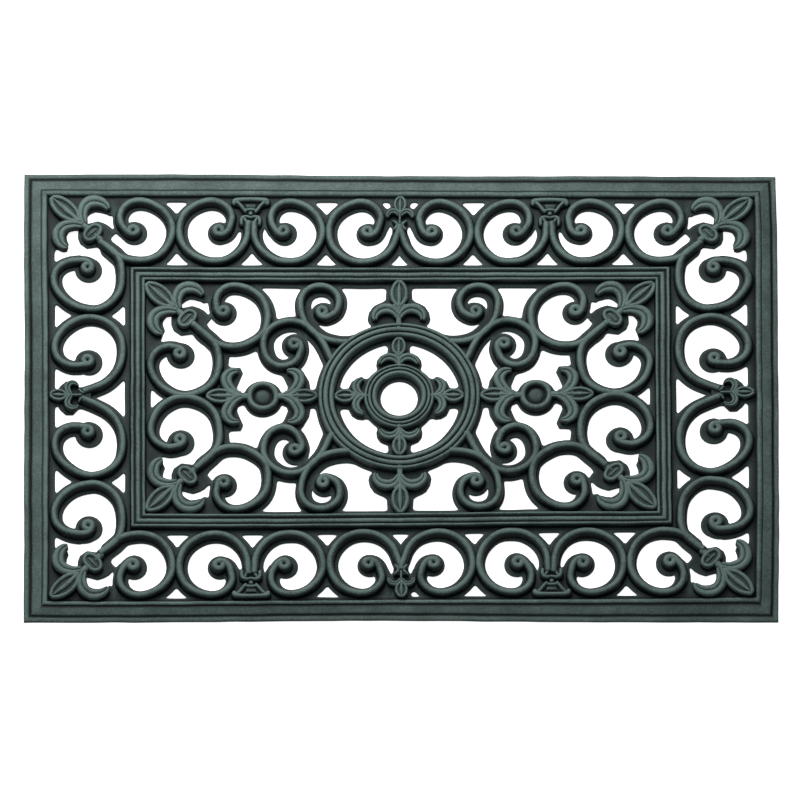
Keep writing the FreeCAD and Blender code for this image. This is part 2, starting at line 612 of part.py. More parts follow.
def border_section(outer):
    half, foot = size(outer) / 2, size("border_foot")
    lip, gr, b0, b1, rh = size("lip_height"), size("groove_depth"), size("bevel_start"), size("bevel_end"), size("ridge_height")
    L, R, B0, B1 = DIM["lip_height"], DIM["ridge_height"], DIM["bevel_start"], DIM["bevel_end"]
    low = (lip - gr, "%s - %s" % (L, DIM["groove_depth"]))
    pts = [((half, d_from(outer, "0")), 0)]
    for d, z in ((0.2, (lip - 0.6, L + " - 0.6")), (1.2, (lip, L)), (5.0, (lip, L)), (5.5, low), (6.1, low), (6.6, (b0 - 0.3, B0 + " - 0.3")), (7.4, (b0, B0))):
        pts.append(((half - d, d_from(outer, "%g" % d)), z))
    for t, z in ((6.9, (b1, B1)), (6.2, (b1 - 0.4, B1 + " - 0.4")), (5.5, (rh - 0.8, R + " - 0.8")), (4.6, (rh - 0.3, R + " - 0.3")), (3.2, (rh, R)),
                 (2.0, (rh - 0.15, R + " - 0.15")), (0.7, (rh - 1.0, R + " - 1"))):
        pts.append(((half - foot + t, d_from(outer, DIM["border_foot"], " + %g" % t)), z))
    pts.append(((half - foot, d_from(outer, DIM["border_foot"])), (WEB, DIM["web_thickness"])))
    pts.append(((half - foot, d_from(outer, DIM["border_foot"])), 0))
    return pts


def frame_section(outer):
    half, w, rf, rh, md = size(outer) / 2, IFW, RFOOT, size("rib_height"), size("mid_rib_drop")
    W, F, R, M = DIM["inner_frame_width"], DIM["rib_foot"], DIM["rib_height"], DIM["mid_rib_drop"]
    up = [(0.0, None), (0.6, 1.4), (1.7, 0), (2.9, 0.3), (3.5, 2.2)]
    pts = [((half - rf, d_from(outer, F)), 0)]
    for t, drop in up:
        pts.append(((half - rf - t, d_from(outer, F, " - %g" % t)), (WEB, DIM["web_thickness"]) if drop is None else (rh - drop, "%s - %g" % (R, drop))))
    mid = w / 2 - 1.4
    pts.append(((half - mid, d_from(outer, W + " / 2", " + 1.4")), (rh - md - 0.4, "%s - %s - 0.4" % (R, M))))
    pts.append(((half - w / 2, d_from(outer, W + " / 2")), (rh - md, "%s - %s" % (R, M))))
    pts.append(((half - w / 2 - 1.4, d_from(outer, W + " / 2", " - 1.4")), (rh - md - 0.4, "%s - %s - 0.4" % (R, M))))
    for t, drop in reversed(up):
        pts.append(((half - w + rf + t, d_from(outer, W, " + %s + %g" % (F, t))), (WEB, DIM["web_thickness"]) if drop is None else (rh - drop, "%s - %g" % (R, drop))))
    pts.append(((half - w + rf, d_from(outer, W, " + " + F)), 0))
    return pts


def rail_body(label, along, section, length_alias, other_alias, depth):
    body = doc.addObject("PartDesign::Body", label + "_section")
    sk = sketch_on(body, "YZ_Plane" if along == "X" else "XZ_Plane", label + "_profile")
    outline_in(sk, section(other_alias))
    pad = body.newObject("PartDesign::Pad", label + "_pad")
    pad.Profile = sk
    pad.Midplane = True
    pad.setExpression("Length", DIM[length_alias])
    body.Tip = pad
    doc.recompute()
    before = body.Shape.Volume
    cut = sketch_on(body, "XY_Plane", label + "_mitre")
    hl, ho = size(length_alias) / 2, size(other_alias) / 2
    for end in (1, -1):
        tri = [(hl - depth, ho - depth), (hl + 1.0, ho + 1.0), (hl + 1.0, ho - depth)]
        for k in range(3):
            (a0, a1), (b0, b1) = tri[k], tri[(k + 1) % 3]
            if along == "X":
                cut.addGeometry(Part.LineSegment(V(end * a0, a1, 0), V(end * b0, b1, 0)), False)
            else:
                cut.addGeometry(Part.LineSegment(V(a1, end * a0, 0), V(b1, end * b0, 0)), False)
    pk = body.newObject("PartDesign::Pocket", label + "_mitre_cut")
    pk.Profile = cut
    pk.Type = "ThroughAll"
    doc.recompute()
    if body.Shape.Volume > before - 1.0:
        pk.Reversed = True
        doc.recompute()
    body.Tip = pk
    doc.recompute()
    if body.Shape.Volume > before - 1.0:
        raise RuntimeError(label + ": the mitre removed nothing")
    return body


ground_tools = []
for name, plan in plans.items():
    n = name
    if n in ("ring_fleur_top", "ring_fleur_left"):
        continue
    if n in ("long_side_scrolls_top", "long_side_fleur_top", "axis_fleur_top"):
        ground_tools += [plan, flip(plan, Y1)]
    elif n in ("short_side_fleur_left", "boss_fleur_left"):
        ground_tools += [plan, flip(plan, X1)]
    else:
        ground_tools += [plan, flip(plan, X1), flip(plan, Y1), flip(flip(plan, X1), Y1)]


def rail_web(label, along, half_len, half_other, d0, d1, patches, keep_in):
    """Web strip between distances d0 and d1 from the outline, mitred, plus the
    fillets of web where scrolls touch the rail, less the ornament's ground."""
    a0, a1, o0, o1 = half_len - d0, half_len - d1, half_other - d0, half_other - d1
    pts = [(-a0, o0), (a0, o0), (a1, o1), (-a1, o1)]
    if along == "Y":
        pts = [(o, a) for a, o in pts]
    v = [V(x, y, 0) for x, y in pts]
    faces = [Part.Face(Part.makePolygon(v + [v[0]]))]
    for lo, hi, c, w in patches:
        faces.append(rect(c - w, c + w, lo, hi) if along == "X" else rect(lo, hi, c - w, c + w))
    s = faces[0].multiFuse(faces[1:]) if len(faces) > 1 else faces[0]
    s = s.common(keep_in)
    near = [t for t in ground_tools if t.BoundBox.intersect(s.BoundBox)]
    s = s.cut(near).removeSplitter()
    touch = [f for f in s.Faces if f.Area > 6.0]
    return touch


def rail(label, along, section, length_alias, other_alias, depth, strips):
    """strips: (face list) of web to fuse onto the padded section."""
    body = rail_body(label, along, section, length_alias, other_alias, depth)
    webs = []
    for k, f in enumerate(strips):
        webs.append(web_of("%s_%d" % (label, k), f))
    doc.recompute()
    whole = doc.addObject("Part::MultiFuse", label)
    whole.Shapes = [body] + webs
    whole.Refine = True
    doc.recompute()
    if len(whole.Shape.Solids) != 1:
        raise RuntimeError("%s: %d solids" % (label, len(whole.Shape.Solids)))
    return add(whole, label)


def connected(faces, lo, hi, axis):
    """Keeps the web faces that reach the rail's foot."""
    out = []
    for f in faces:
        b = f.BoundBox
        a = (b.YMin, b.YMax) if axis == "Y" else (b.XMin, b.XMax)
        if (lo is not None and abs(a[0] - lo) < 0.05) or (hi is not None and abs(a[1] - hi) < 0.05):
            out.append(f)
    return out


outer_ring_zone = border_field
inner_zone = inside_inner.cut(ring_disc)
tops = [(213.5 * G, FY, g * G, 26 * G) for g in (-262.5, -187.3, -112.0, -38.6, 38.6, 112.0, 187.3, 262.5)]
sides = [(339.5 * G, FX, g * G, 24 * G) for g in (124.5, 54.5, -54.5, -124.5)]
ft = connected(rail_web("border_top", "X", HX, HY, size("border_foot"), size("border_web_y"), tops, outer_ring_zone), None, FY, "Y")
fs = connected(rail_web("border_right", "Y", HY, HX, size("border_foot"), size("border_web_x"), sides, outer_ring_zone), None, FX, "X")
brt = rail("border_rail_top", "X", border_section, "mat_length", "mat_width", 26.0, ft)
brr = rail("border_rail_right", "Y", border_section, "mat_width", "mat_length", 26.0, fs)

out_t = [(KY, 154.5 * G, g * G, 25 * G) for g in (-187.3, -112.0, -38.6, 38.6, 112.0, 187.3)]
out_s = [(KX, 281.5 * G, g * G, 23 * G) for g in (124.5, 54.5, -54.5, -124.5)]
in_t = [(118.0 * G, MY, g * G, 18 * G) for g in (-163.0, -78.5, 78.5, 163.0)]
in_s = [(240.5 * G, MX, g * G, 12 * G) for g in (38.0, -38.0)]
f1 = connected(rail_web("inner_top_out", "X", IX, IY, 0.0, RFOOT, out_t, outer_ring_zone), KY, None, "Y")
f2 = connected(rail_web("inner_top_in", "X", IX, IY, IFW - RFOOT, IFW, in_t, inner_zone), None, MY, "Y")
g1 = connected(rail_web("inner_right_out", "Y", IY, IX, 0.0, RFOOT, out_s, outer_ring_zone), KX, None, "X")
g2 = connected(rail_web("inner_right_in", "Y", IY, IX, IFW - RFOOT, IFW, in_s, inner_zone), None, MX, "X")
irt = rail("inner_rail_top", "X", frame_section, "inner_length", "inner_width", 24.0, f1 + f2)
irr = rail("inner_rail_right", "Y", frame_section, "inner_width", "inner_length", 24.0, g1 + g2)
mirrored("border_rail_bottom", brt, Y1)
mirrored("border_rail_left", brr, X1)
mirrored("inner_rail_bottom", irt, Y1)
mirrored("inner_rail_left", irr, X1)

# ---------------------------------------------------------------------------
# Check and write
# ---------------------------------------------------------------------------
doc.recompute()
for o in doc.Objects:
    bad = [s for s in o.State if s in ("Invalid", "Error")]
    if bad:
        raise RuntimeError("%s is %s" % (o.Label, bad))
for o in parts:
    s = o.Shape
    if s.isNull() or not s.isValid():
        raise RuntimeError(o.Label + ": shape is null or not valid")
    if len(s.Solids) != 1:
        raise RuntimeError("%s: %d solids" % (o.Label, len(s.Solids)))
os.makedirs("parts", exist_ok=True)
for o in parts:
    o.Shape.exportStep("parts/%s.step" % o.Label)
print(len(parts), "parts written")
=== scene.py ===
import math
import bpy
import numpy as np
from mathutils.geometry import tessellate_polygon
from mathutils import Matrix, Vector


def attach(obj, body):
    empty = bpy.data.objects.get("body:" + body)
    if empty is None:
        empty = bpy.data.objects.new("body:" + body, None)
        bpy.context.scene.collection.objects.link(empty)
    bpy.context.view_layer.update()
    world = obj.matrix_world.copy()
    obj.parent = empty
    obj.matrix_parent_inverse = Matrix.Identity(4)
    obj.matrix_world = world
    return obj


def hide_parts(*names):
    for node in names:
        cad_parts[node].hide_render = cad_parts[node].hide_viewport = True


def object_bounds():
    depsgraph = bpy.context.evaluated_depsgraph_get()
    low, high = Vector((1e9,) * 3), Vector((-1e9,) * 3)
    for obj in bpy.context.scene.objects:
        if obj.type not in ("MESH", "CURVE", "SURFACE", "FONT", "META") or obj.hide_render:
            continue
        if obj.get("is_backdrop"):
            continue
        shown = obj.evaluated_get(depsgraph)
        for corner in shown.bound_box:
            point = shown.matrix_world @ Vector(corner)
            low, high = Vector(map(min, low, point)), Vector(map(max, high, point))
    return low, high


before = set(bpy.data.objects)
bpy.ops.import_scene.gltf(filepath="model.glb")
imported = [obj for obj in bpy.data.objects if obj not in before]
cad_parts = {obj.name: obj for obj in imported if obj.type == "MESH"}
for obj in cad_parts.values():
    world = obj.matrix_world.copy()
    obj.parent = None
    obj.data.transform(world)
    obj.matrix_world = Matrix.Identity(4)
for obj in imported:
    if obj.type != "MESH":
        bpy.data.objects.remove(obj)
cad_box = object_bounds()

# ---------------------------------------------------------------------------
# A moulded rubber scrollwork mat. All drawing is in millimetres; one grid step
# of the scroll drawing is G. Meshes are written in metres at the end.
# ---------------------------------------------------------------------------
G = 0.9344
HX, HY = 350.0, 228.7                 # half length, half width
FOOT = 22.6                           # outer edge to the inner foot of the ridge
WEBX, WEBY = 27.0, 24.6               # outer edge to the openings
IX, IY, IFW, RF = 254.3, 136.3, 20.6, 2.9
RO, RI, HO, HI = 78.2, 56.6, 35.2, 17.2
WEB = 2.0

SCROLL = {  # crest of each scroll, point by point, and the middle of its rolled head
    "S1": ([(-299.5, 171.0), (-290.1, 162.9), (-283.3, 156.6), (-275.2, 152.0), (-266.2, 149.9), (-256.9, 149.5), (-247.8, 151.5), (-239.7, 156.0), (-233.4, 162.8), (-229.0, 171.0), (-227.0, 180.0), (-227.6, 189.3), (-231.1, 197.9), (-236.8, 205.2), (-244.3, 210.8), (-252.8, 214.4), (-262.0, 215.4), (-270.9, 212.7), (-277.2, 206.1), (-279.6, 197.2), (-277.3, 188.3), (-271.8, 180.8)], (-266.1, 182.7)),
    "L1": ([(-299.5, 171.0), (-291.5, 164.8), (-283.7, 157.8), (-279.0, 149.4), (-277.1, 139.9), (-277.0, 130.3), (-278.1, 120.7), (-281.2, 111.5), (-287.0, 103.8), (-294.7, 98.1), (-303.9, 95.1), (-313.5, 95.8), (-322.8, 98.4), (-331.2, 103.2), (-338.0, 110.0), (-343.0, 118.3), (-345.1, 127.7), (-343.5, 137.1), (-337.3, 144.4), (-328.4, 148.2), (-318.9, 149.3)], (-311.3, 141.1)),
    "L2": ([(-316.0, 4.0), (-309.5, 6.6), (-303.0, 9.5), (-294.6, 13.9), (-287.4, 20.0), (-281.7, 27.5), (-278.1, 36.2), (-276.6, 45.5), (-276.6, 54.9), (-278.2, 64.2), (-282.5, 72.6), (-289.0, 79.4), (-297.2, 84.0), (-306.4, 86.1), (-315.8, 85.3), (-324.5, 81.7), (-332.2, 76.4), (-338.7, 69.5), (-343.2, 61.3), (-344.6, 52.0), (-342.4, 42.9), (-336.0, 36.1), (-327.2, 32.9), (-317.9, 33.4)], (-311.5, 38.6)),
    "S2": ([(-151.2, 193.0), (-151.8, 186.9), (-152.3, 177.4), (-155.1, 168.3), (-160.3, 160.4), (-167.4, 154.1), (-176.0, 150.2), (-185.5, 149.2), (-194.9, 150.6), (-203.6, 154.4), (-211.2, 160.1), (-216.7, 167.9), (-219.8, 176.8), (-220.4, 186.3), (-218.3, 195.6), (-213.4, 203.7), (-206.3, 210.0), (-197.6, 214.0), (-188.3, 215.4), (-179.0, 213.3), (-171.6, 207.5), (-167.8, 198.9), (-169.0, 189.5)], (-180.7, 182.9)),
    "S3": ([(-145.9, 192.0), (-145.4, 185.6), (-144.8, 176.3), (-141.7, 167.6), (-136.3, 160.0), (-129.2, 154.1), (-120.9, 150.1), (-111.7, 148.9), (-102.4, 149.5), (-93.9, 152.9), (-86.8, 159.0), (-81.3, 166.4), (-78.1, 175.1), (-77.4, 184.3), (-79.5, 193.3), (-84.1, 201.4), (-90.7, 207.9), (-98.8, 212.4), (-107.8, 214.6), (-117.0, 213.8), (-124.7, 208.7), (-128.6, 200.5), (-128.3, 191.3), (-123.9, 183.2)], (-116.0, 182.4)),
    "S4": ([(0.2, 189.5), (-0.3, 185.1), (-3.3, 176.2), (-6.6, 167.3), (-11.9, 159.5), (-19.0, 153.4), (-27.6, 149.7), (-36.9, 148.4), (-46.2, 149.6), (-54.8, 153.4), (-62.0, 159.4), (-67.4, 167.1), (-70.4, 176.0), (-70.8, 185.4), (-68.5, 194.5), (-63.7, 202.6), (-56.8, 208.9), (-48.3, 213.0), (-39.1, 214.6), (-30.0, 212.4), (-22.8, 206.3), (-19.2, 197.8), (-20.8, 188.6)], (-32.4, 181.9)),
    "A": ([(-204.5, 78.5), (-190.4, 65.4), (-183.2, 59.3), (-174.6, 55.5), (-165.1, 54.6), (-155.8, 56.1), (-147.3, 60.1), (-139.5, 65.6), (-133.6, 72.9), (-131.4, 82.1), (-131.2, 91.6), (-133.3, 100.8), (-137.9, 109.1), (-144.8, 115.5), (-153.1, 120.1), (-162.3, 122.2), (-171.7, 121.0), (-179.3, 115.6), (-183.1, 107.0), (-182.3, 97.6)], (-175.5, 93.7)),
    "B": ([(-204.5, 78.5), (-196.5, 71.3), (-188.8, 64.3), (-183.0, 56.9), (-180.1, 48.1), (-179.3, 38.7), (-180.3, 29.4), (-182.9, 20.5), (-188.0, 12.7), (-195.2, 6.8), (-203.6, 2.7), (-212.7, 0.7), (-222.0, 1.7), (-230.5, 5.5), (-237.9, 11.2), (-243.6, 18.6), (-247.2, 27.2), (-248.4, 36.4), (-245.7, 45.3), (-239.1, 51.8), (-230.4, 54.9), (-221.1, 53.6)], (-219.1, 46.9)),
    "C": ([(-49.8, 59.7), (-59.5, 60.0), (-69.0, 61.8), (-78.0, 65.4), (-85.6, 71.4), (-91.8, 78.8), (-96.1, 87.5), (-98.1, 97.0), (-98.1, 106.6), (-94.2, 115.4), (-86.3, 120.8), (-76.7, 121.9), (-67.7, 118.6), (-61.5, 111.3), (-60.1, 101.9), (-63.5, 93.0), (-71.4, 87.6)], (-76.7, 93.5)),
    "D": ([(-66.5, 39.5), (-69.7, 45.6), (-73.4, 54.2), (-77.9, 62.4), (-83.6, 69.8), (-90.2, 76.5), (-98.1, 81.4), (-107.3, 83.3), (-116.5, 82.1), (-124.8, 77.9), (-131.5, 71.3), (-135.1, 62.8), (-135.2, 53.5), (-132.7, 44.5), (-127.1, 37.1), (-118.6, 33.3), (-109.5, 34.6), (-102.2, 40.3), (-98.4, 48.8)], (-104.6, 57.8)),
}
GROUPS = {  # scrolls of each moulded piece
    "corner_scrolls": ["S1", "L1"], "collar_scrolls": ["S2", "S3"], "long_side_scrolls": ["S4"], "short_side_scroll": ["L2"],
    "inner_corner_scrolls": ["A", "B"], "hook_scrolls": ["C", "D"],
}
FLANGE = {  # web under a scroll: half width, drift against the crest, radius round the head (mm)
    "S1": (6.9, 1.15, -0.1, 11.8), "S2": (6.9, 1.15, -0.1, 11.4), "S3": (6.9, 1.15, -0.1, 11.6), "S4": (7.0, 1.1, -0.2, 11.2), "L1": (7.0, 1.1, 0.2, 12.6), "L2": (6.8, 1.2, 0.6, 12.8),
    "A": (7.1, 0.6, 0.2, 11.8), "B": (7.3, 0.9, 0.5, 12.9), "C": (7.5, 1.2, 0.4, 11.6), "D": (7.7, 1.0, 0.4, 12.4),
}
HEAD_R, BAR_W = 3.75, 3.9


# ---------------------------------------------------------------------------
# Curves
# ---------------------------------------------------------------------------
def scroll_path(key):
    """Crest line of a scroll, closed at its far end by the rolled head."""
    line, eye = SCROLL[key]
    pts = smooth(np.array(line) * G, 1.3)
    e = np.array(eye) * G
    arm, go = pts[-30] - e, pts[-29] - pts[-30]
    sg = 1.0 if arm[0] * go[1] - arm[1] * go[0] > 0 else -1.0
    d = np.hypot(*(pts - e).T)
    lim = int(len(pts) * 0.6)
    near = [i for i in range(lim, len(pts)) if d[i] < 8.3]
    if near:
        pts = pts[:near[0] + 1]
    p0, t0 = pts[-1], pts[-1] - pts[-2]
    t0 = t0 / np.hypot(*t0)
    a0 = math.atan2(*(p0 - e)[::-1])
    turn = math.radians(118 if near or d[-1] < 9 else 135)
    a1 = a0 + sg * turn
    p1 = e + HEAD_R * np.array([math.cos(a1), math.sin(a1)])
    t1 = sg * np.array([-math.sin(a1), math.cos(a1)])
    c = np.hypot(*(p1 - p0))
    h0, h1 = 0.55 * c, 0.34 * c
    s = np.linspace(0, 1, 13)[1:, None]
    q0, q1, q2, q3 = p0, p0 + t0 * h0, p1 - t1 * h1, p1
    bez = (1 - s) ** 3 * q0 + 3 * s * (1 - s) ** 2 * q1 + 3 * s * s * (1 - s) * q2 + s ** 3 * q3
    ang = a1 + sg * np.linspace(0, math.radians(262), 18)[1:]
    rr = np.linspace(HEAD_R, HEAD_R - 0.15, 17)
    roll = e + np.stack([rr * np.cos(ang), rr * np.sin(ang)], 1)
    return np.concatenate([pts, bez, roll])


def smooth(pts, step, closed=False):
    """Centripetal-like Catmull-Rom through the points, evenly resampled. Extra
    columns, such as widths and heights, are carried along."""
    p = np.array(pts, float)
    n = len(p)
    idx = range(n if closed else n - 1)
    out = []
    for i in idx:
        if closed:
            a, b, c, d = p[i - 1], p[i], p[(i + 1) % n], p[(i + 2) % n]
        else:
            a, b, c, d = p[max(i - 1, 0)], p[i], p[i + 1], p[min(i + 2, n - 1)]
        m0, m1 = (c - a) / 2, (d - b) / 2
        for s in np.linspace(0, 1, 12, endpoint=False):
            out.append((2 * s ** 3 - 3 * s * s + 1) * b + (s ** 3 - 2 * s * s + s) * m0 + (3 * s * s - 2 * s ** 3) * c + (s ** 3 - s * s) * m1)
    if not closed:
        out.append(p[-1])
    out = np.array(out)
    if closed:
        out = np.concatenate([out, out[:1]])
    ln = np.concatenate([[0], np.cumsum(np.hypot(*np.diff(out[:, :2], axis=0).T))])
    m = max(4, int(round(ln[-1] / step)))
    t = np.linspace(0, ln[-1], m + 1)
    res = np.stack([np.interp(t, ln, out[:, k]) for k in range(out.shape[1])], 1)
    return res[:-1] if closed else res


# ---------------------------------------------------------------------------
# Mesh gathering: one Soup per moulded piece
# ---------------------------------------------------------------------------
class Soup:
    def __init__(self):
        self.v, self.a, self.f, self.n = [], [], [], 0

    def add(self, verts, tone, faces):
        """verts n x 3 mm, tone n (0 bare black recess, darkened further as painted shade .. 1 worn crest), faces list
        of index tuples.
        """
        self.v.append(np.asarray(verts, float))
        self.a.append(np.broadcast_to(np.asarray(tone, float), (len(verts),)).copy())
        self.f += [tuple(i + self.n for i in f) for f in faces]
        self.n += len(verts)

    def mirrored(self, sx, sy):
        o = Soup()
        if self.n:
            v = np.concatenate(self.v) * np.array([sx, sy, 1.0])
            f = self.f if sx * sy > 0 else [t[::-1] for t in self.f]
            o.add(v, np.concatenate(self.a), f)
        return o

    def join(self, other):
        if other.n:
            self.add(np.concatenate(other.v), np.concatenate(other.a), other.f)
        return self


def grid_faces(rows, cols, wrap_cols=False, wrap_rows=False):
    f = []
    for i in range(rows if wrap_rows else rows - 1):
        i2 = (i + 1) % rows
        for j in range(cols if wrap_cols else cols - 1):
            j2 = (j + 1) % cols
            f.append((i * cols + j, i2 * cols + j, i2 * cols + j2, i * cols + j2))
    return f


# section of a scroll bar: offset, height, tone
# tone falls to near black at the foot of the bar: bare rubber, deepened as painted shade in the crease
HALF_BAR = [(4.75, 1.96, 0.10), (4.3, 2.15, 0.03), (4.05, 3.1, 0.02), (3.85, 4.7, 0.03), (3.5, 6.1, 0.10), (2.9, 7.35, 0.34), (2.3, 8.05, 0.66), (1.4, 8.55, 0.92)]
BAR = [(-o, z, t) for o, z, t in HALF_BAR] + [(0.0, 8.8, 1.0)] + [(o, z, t) for o, z, t in reversed(HALF_BAR)]


def sweep(soup, path, profile, wide=None, high=None, base=WEB, cap=(True, True), closed=False):
    """Pulls a section along a crest line. wide and high scale it per station;
    the caps are rounded."""
    p = np.asarray(path, float)[:, :2]
    n = len(p)
    wide = np.ones(n) if wide is None else np.asarray(wide, float)
    high = np.ones(n) if high is None else np.asarray(high, float)
    if closed:
        t = np.roll(p, -1, 0) - np.roll(p, 1, 0)
    else:
        t = np.gradient(p, axis=0)
    t /= np.maximum(np.hypot(t[:, 0], t[:, 1]), 1e-9)[:, None]
    prof = np.array(profile, float)
    half = abs(prof[:, 0]).max() * 0.8
    if not closed:
        ext = [(0.35, 0.94), (0.66, 0.76), (0.88, 0.48), (1.0, 0.12)]
        pre = [(p[0] - t[0] * half * wide[0] * a, t[0], wide[0] * b, high[0] * (0.45 + 0.55 * math.sqrt(b))) for a, b in reversed(ext)] if cap[0] else []
        post = [(p[-1] + t[-1] * half * wide[-1] * a, t[-1], wide[-1] * b, high[-1] * (0.45 + 0.55 * math.sqrt(b))) for a, b in ext] if cap[1] else []
        p = np.array([q[0] for q in pre] + list(p) + [q[0] for q in post])
        t = np.array([q[1] for q in pre] + list(t) + [q[1] for q in post])
        wide = np.array([q[2] for q in pre] + list(wide) + [q[2] for q in post])
        high = np.array([q[3] for q in pre] + list(high) + [q[3] for q in post])
        n = len(p)
    nrm = np.stack([-t[:, 1], t[:, 0]], 1)
    k = len(prof)
    off = prof[None, :, 0] * wide[:, None]
    z = base + (prof[None, :, 1] - base) * high[:, None]
    v = np.empty((n, k, 3))
    v[..., 0] = p[:, None, 0] + nrm[:, None, 0] * off
    v[..., 1] = p[:, None, 1] + nrm[:, None, 1] * off
    v[..., 2] = z
    tone = np.broadcast_to(prof[None, :, 2], (n, k)).reshape(-1)
    faces = grid_faces(n, k, wrap_rows=closed)
    if not closed:
        faces += [tuple(range(k - 1, -1, -1))[::-1], tuple((n - 1) * k + j for j in range(k))[::-1]]
    soup.add(v.reshape(-1, 3), tone, faces)


def ridge(soup, pts, top=8.2, base=1.96, tone=1.0, closed=False, step=0.95):
    """Raised line through (x, y, half width) control points, millimetres; an
    optional fourth number is the crest height."""
    pts = [tuple(p) + ((top,) if len(p) == 3 else ()) for p in pts]
    r = smooth(pts, step, closed)
    h = top - base
    u = [(-1.0, 0.0, 0.02), (-0.93, 0.42, 0.08), (-0.80, 0.72, 0.38), (-0.55, 0.91, 0.86), (-0.26, 0.985, 1.0), (0, 1.0, 1.0),
         (0.26, 0.985, 1.0), (0.55, 0.91, 0.86), (0.80, 0.72, 0.38), (0.93, 0.42, 0.08), (1.0, 0.0, 0.02)]
    prof = [(a, base + b * h, c * tone) for a, b, c in u]
    sweep(soup, r, prof, wide=r[:, 2], high=(r[:, 3] - base) / h, base=base, closed=closed)


def plate(soup, outline, top, base=1.9, bevel=0.7, tone=0.8, step=1.2, edge_tone=None):
    """Flat-topped body with an eased edge over a smooth closed outline (mm)."""
    r = smooth([tuple(p) for p in outline], step, True)[:, :2]
    area = 0.5 * np.sum(r[:, 0] * np.roll(r[:, 1], -1) - np.roll(r[:, 0], -1) * r[:, 1])
    if area < 0:
        r = r[::-1]
    t = np.roll(r, -1, 0) - np.roll(r, 1, 0)
    t /= np.maximum(np.hypot(t[:, 0], t[:, 1]), 1e-9)[:, None]
    inw = np.stack([-t[:, 1], t[:, 0]], 1)
    n = len(r)
    et = tone if edge_tone is None else edge_tone
    rings = [(0.0, base, 0.05), (0.12, top - bevel * 1.6, 0.3 * tone), (0.3 * bevel, top - bevel * 0.75, 0.7 * et), (0.75 * bevel, top - bevel * 0.2, et), (1.25 * bevel, top, et)]
    v = [np.column_stack([r + inw * o, np.full(n, z)]) for o, z, _ in rings]
    a = np.concatenate([np.full(n, c) for _, _, c in rings])
    faces = []
    for k in range(len(rings) - 1):
        for i in range(n):
            j = (i + 1) % n
            faces.append((k * n + i, k * n + j, (k + 1) * n + j, (k + 1) * n + i))
    last = (len(rings) - 1) * n
    tri = tessellate_polygon([[Vector((float(x), float(y), 0.0)) for x, y in v[-1][:, :2]]])
    top_xy = v[-1]
    for t3 in tri:
        (ax, ay), (bx, by), (cx, cy) = (top_xy[i][:2] for i in t3)
        if (bx - ax) * (cy - ay) - (cx - ax) * (by - ay) < 0:
            t3 = t3[::-1]
        faces.append(tuple(last + i for i in t3))
    tri0 = [tuple(t3) for t3 in tri]
    for t3 in tri0:
        (ax, ay), (bx, by), (cx, cy) = (r[i] for i in t3)
        if (bx - ax) * (cy - ay) - (cx - ax) * (by - ay) > 0:
            t3 = t3[::-1]
        faces.append(t3)
    soup.add(np.concatenate(v), a, faces)


def turned(soup, x, y, profile, seg=48):
    """Turned body about a vertical axis: (radius, height, tone) from outside in."""
    pr = np.array(profile, float)
    ang = np.linspace(0, 2 * math.pi, seg, endpoint=False)
    v = np.empty((seg, len(pr), 3))
    v[..., 0] = x + np.cos(ang)[:, None] * pr[None, :, 0]
    v[..., 1] = y + np.sin(ang)[:, None] * pr[None, :, 0]
    v[..., 2] = pr[None, :, 1]
    tone = np.broadcast_to(pr[None, :, 2], (seg, len(pr))).reshape(-1)
    f = grid_faces(seg, len(pr), wrap_rows=True)
    soup.add(v.reshape(-1, 3), tone, f)


def at(origin, axis_deg):
    ca, sa = math.cos(math.radians(axis_deg)), math.sin(math.radians(axis_deg))

    def q(s, t, *rest):
        return ((origin[0] + ca * s - sa * t) * G, (origin[1] + sa * s + ca * t) * G) + tuple(r * G for r in rest[:1]) + tuple(rest[1:])
    return q


# ---------------------------------------------------------------------------
# Ornament drawings. s runs along the axis of the ornament, t to its left; a
# third number is the half width of a raised line, a fourth its crest height.
# ---------------------------------------------------------------------------
def leaf(soup, q, s0, s1, half, top=8.3, rim=1.55):
    """Blunt leaf: two broad raised lobes, thin sunk slits and a mid rib."""
    L = s1 - s0
    side = [(0.0, 0.28), (0.10, 0.58), (0.24, 0.87), (0.42, 1.0), (0.60, 0.98), (0.78, 0.79), (0.92, 0.44)]
    out = [q(s0 + a * L, b * half) for a, b in side] + [q(s1, 0)] + [q(s0 + a * L, -b * half) for a, b in reversed(side)]
    plate(soup, out, top - 1.9, bevel=0.5, tone=0.05, edge_tone=0.35)
    for sg in (1, -1):
        ridge(soup, [q(s0 + a * L, sg * max(b * half - rim, 0.15), rim, top - 0.2 * (1 - b)) for a, b in side] + [q(s1 - rim * 0.9, 0, rim * 0.75, top - 0.5)], top=top, base=3.0)
    wide = max(half - 2 * rim, 0.8)
    ridge(soup, [q(s0 + a * L, 0, max(0.55, wide * b * c), top - 0.15 * (a > 0.7)) for a, b, c in
                 ((0.02, 0.8, 0.9), (0.2, 0.75, 0.8), (0.42, 0.92, 0.82), (0.6, 0.86, 0.78), (0.78, 0.5, 0.8), (0.9, 0.22, 0.8))], top=top, base=3.0)


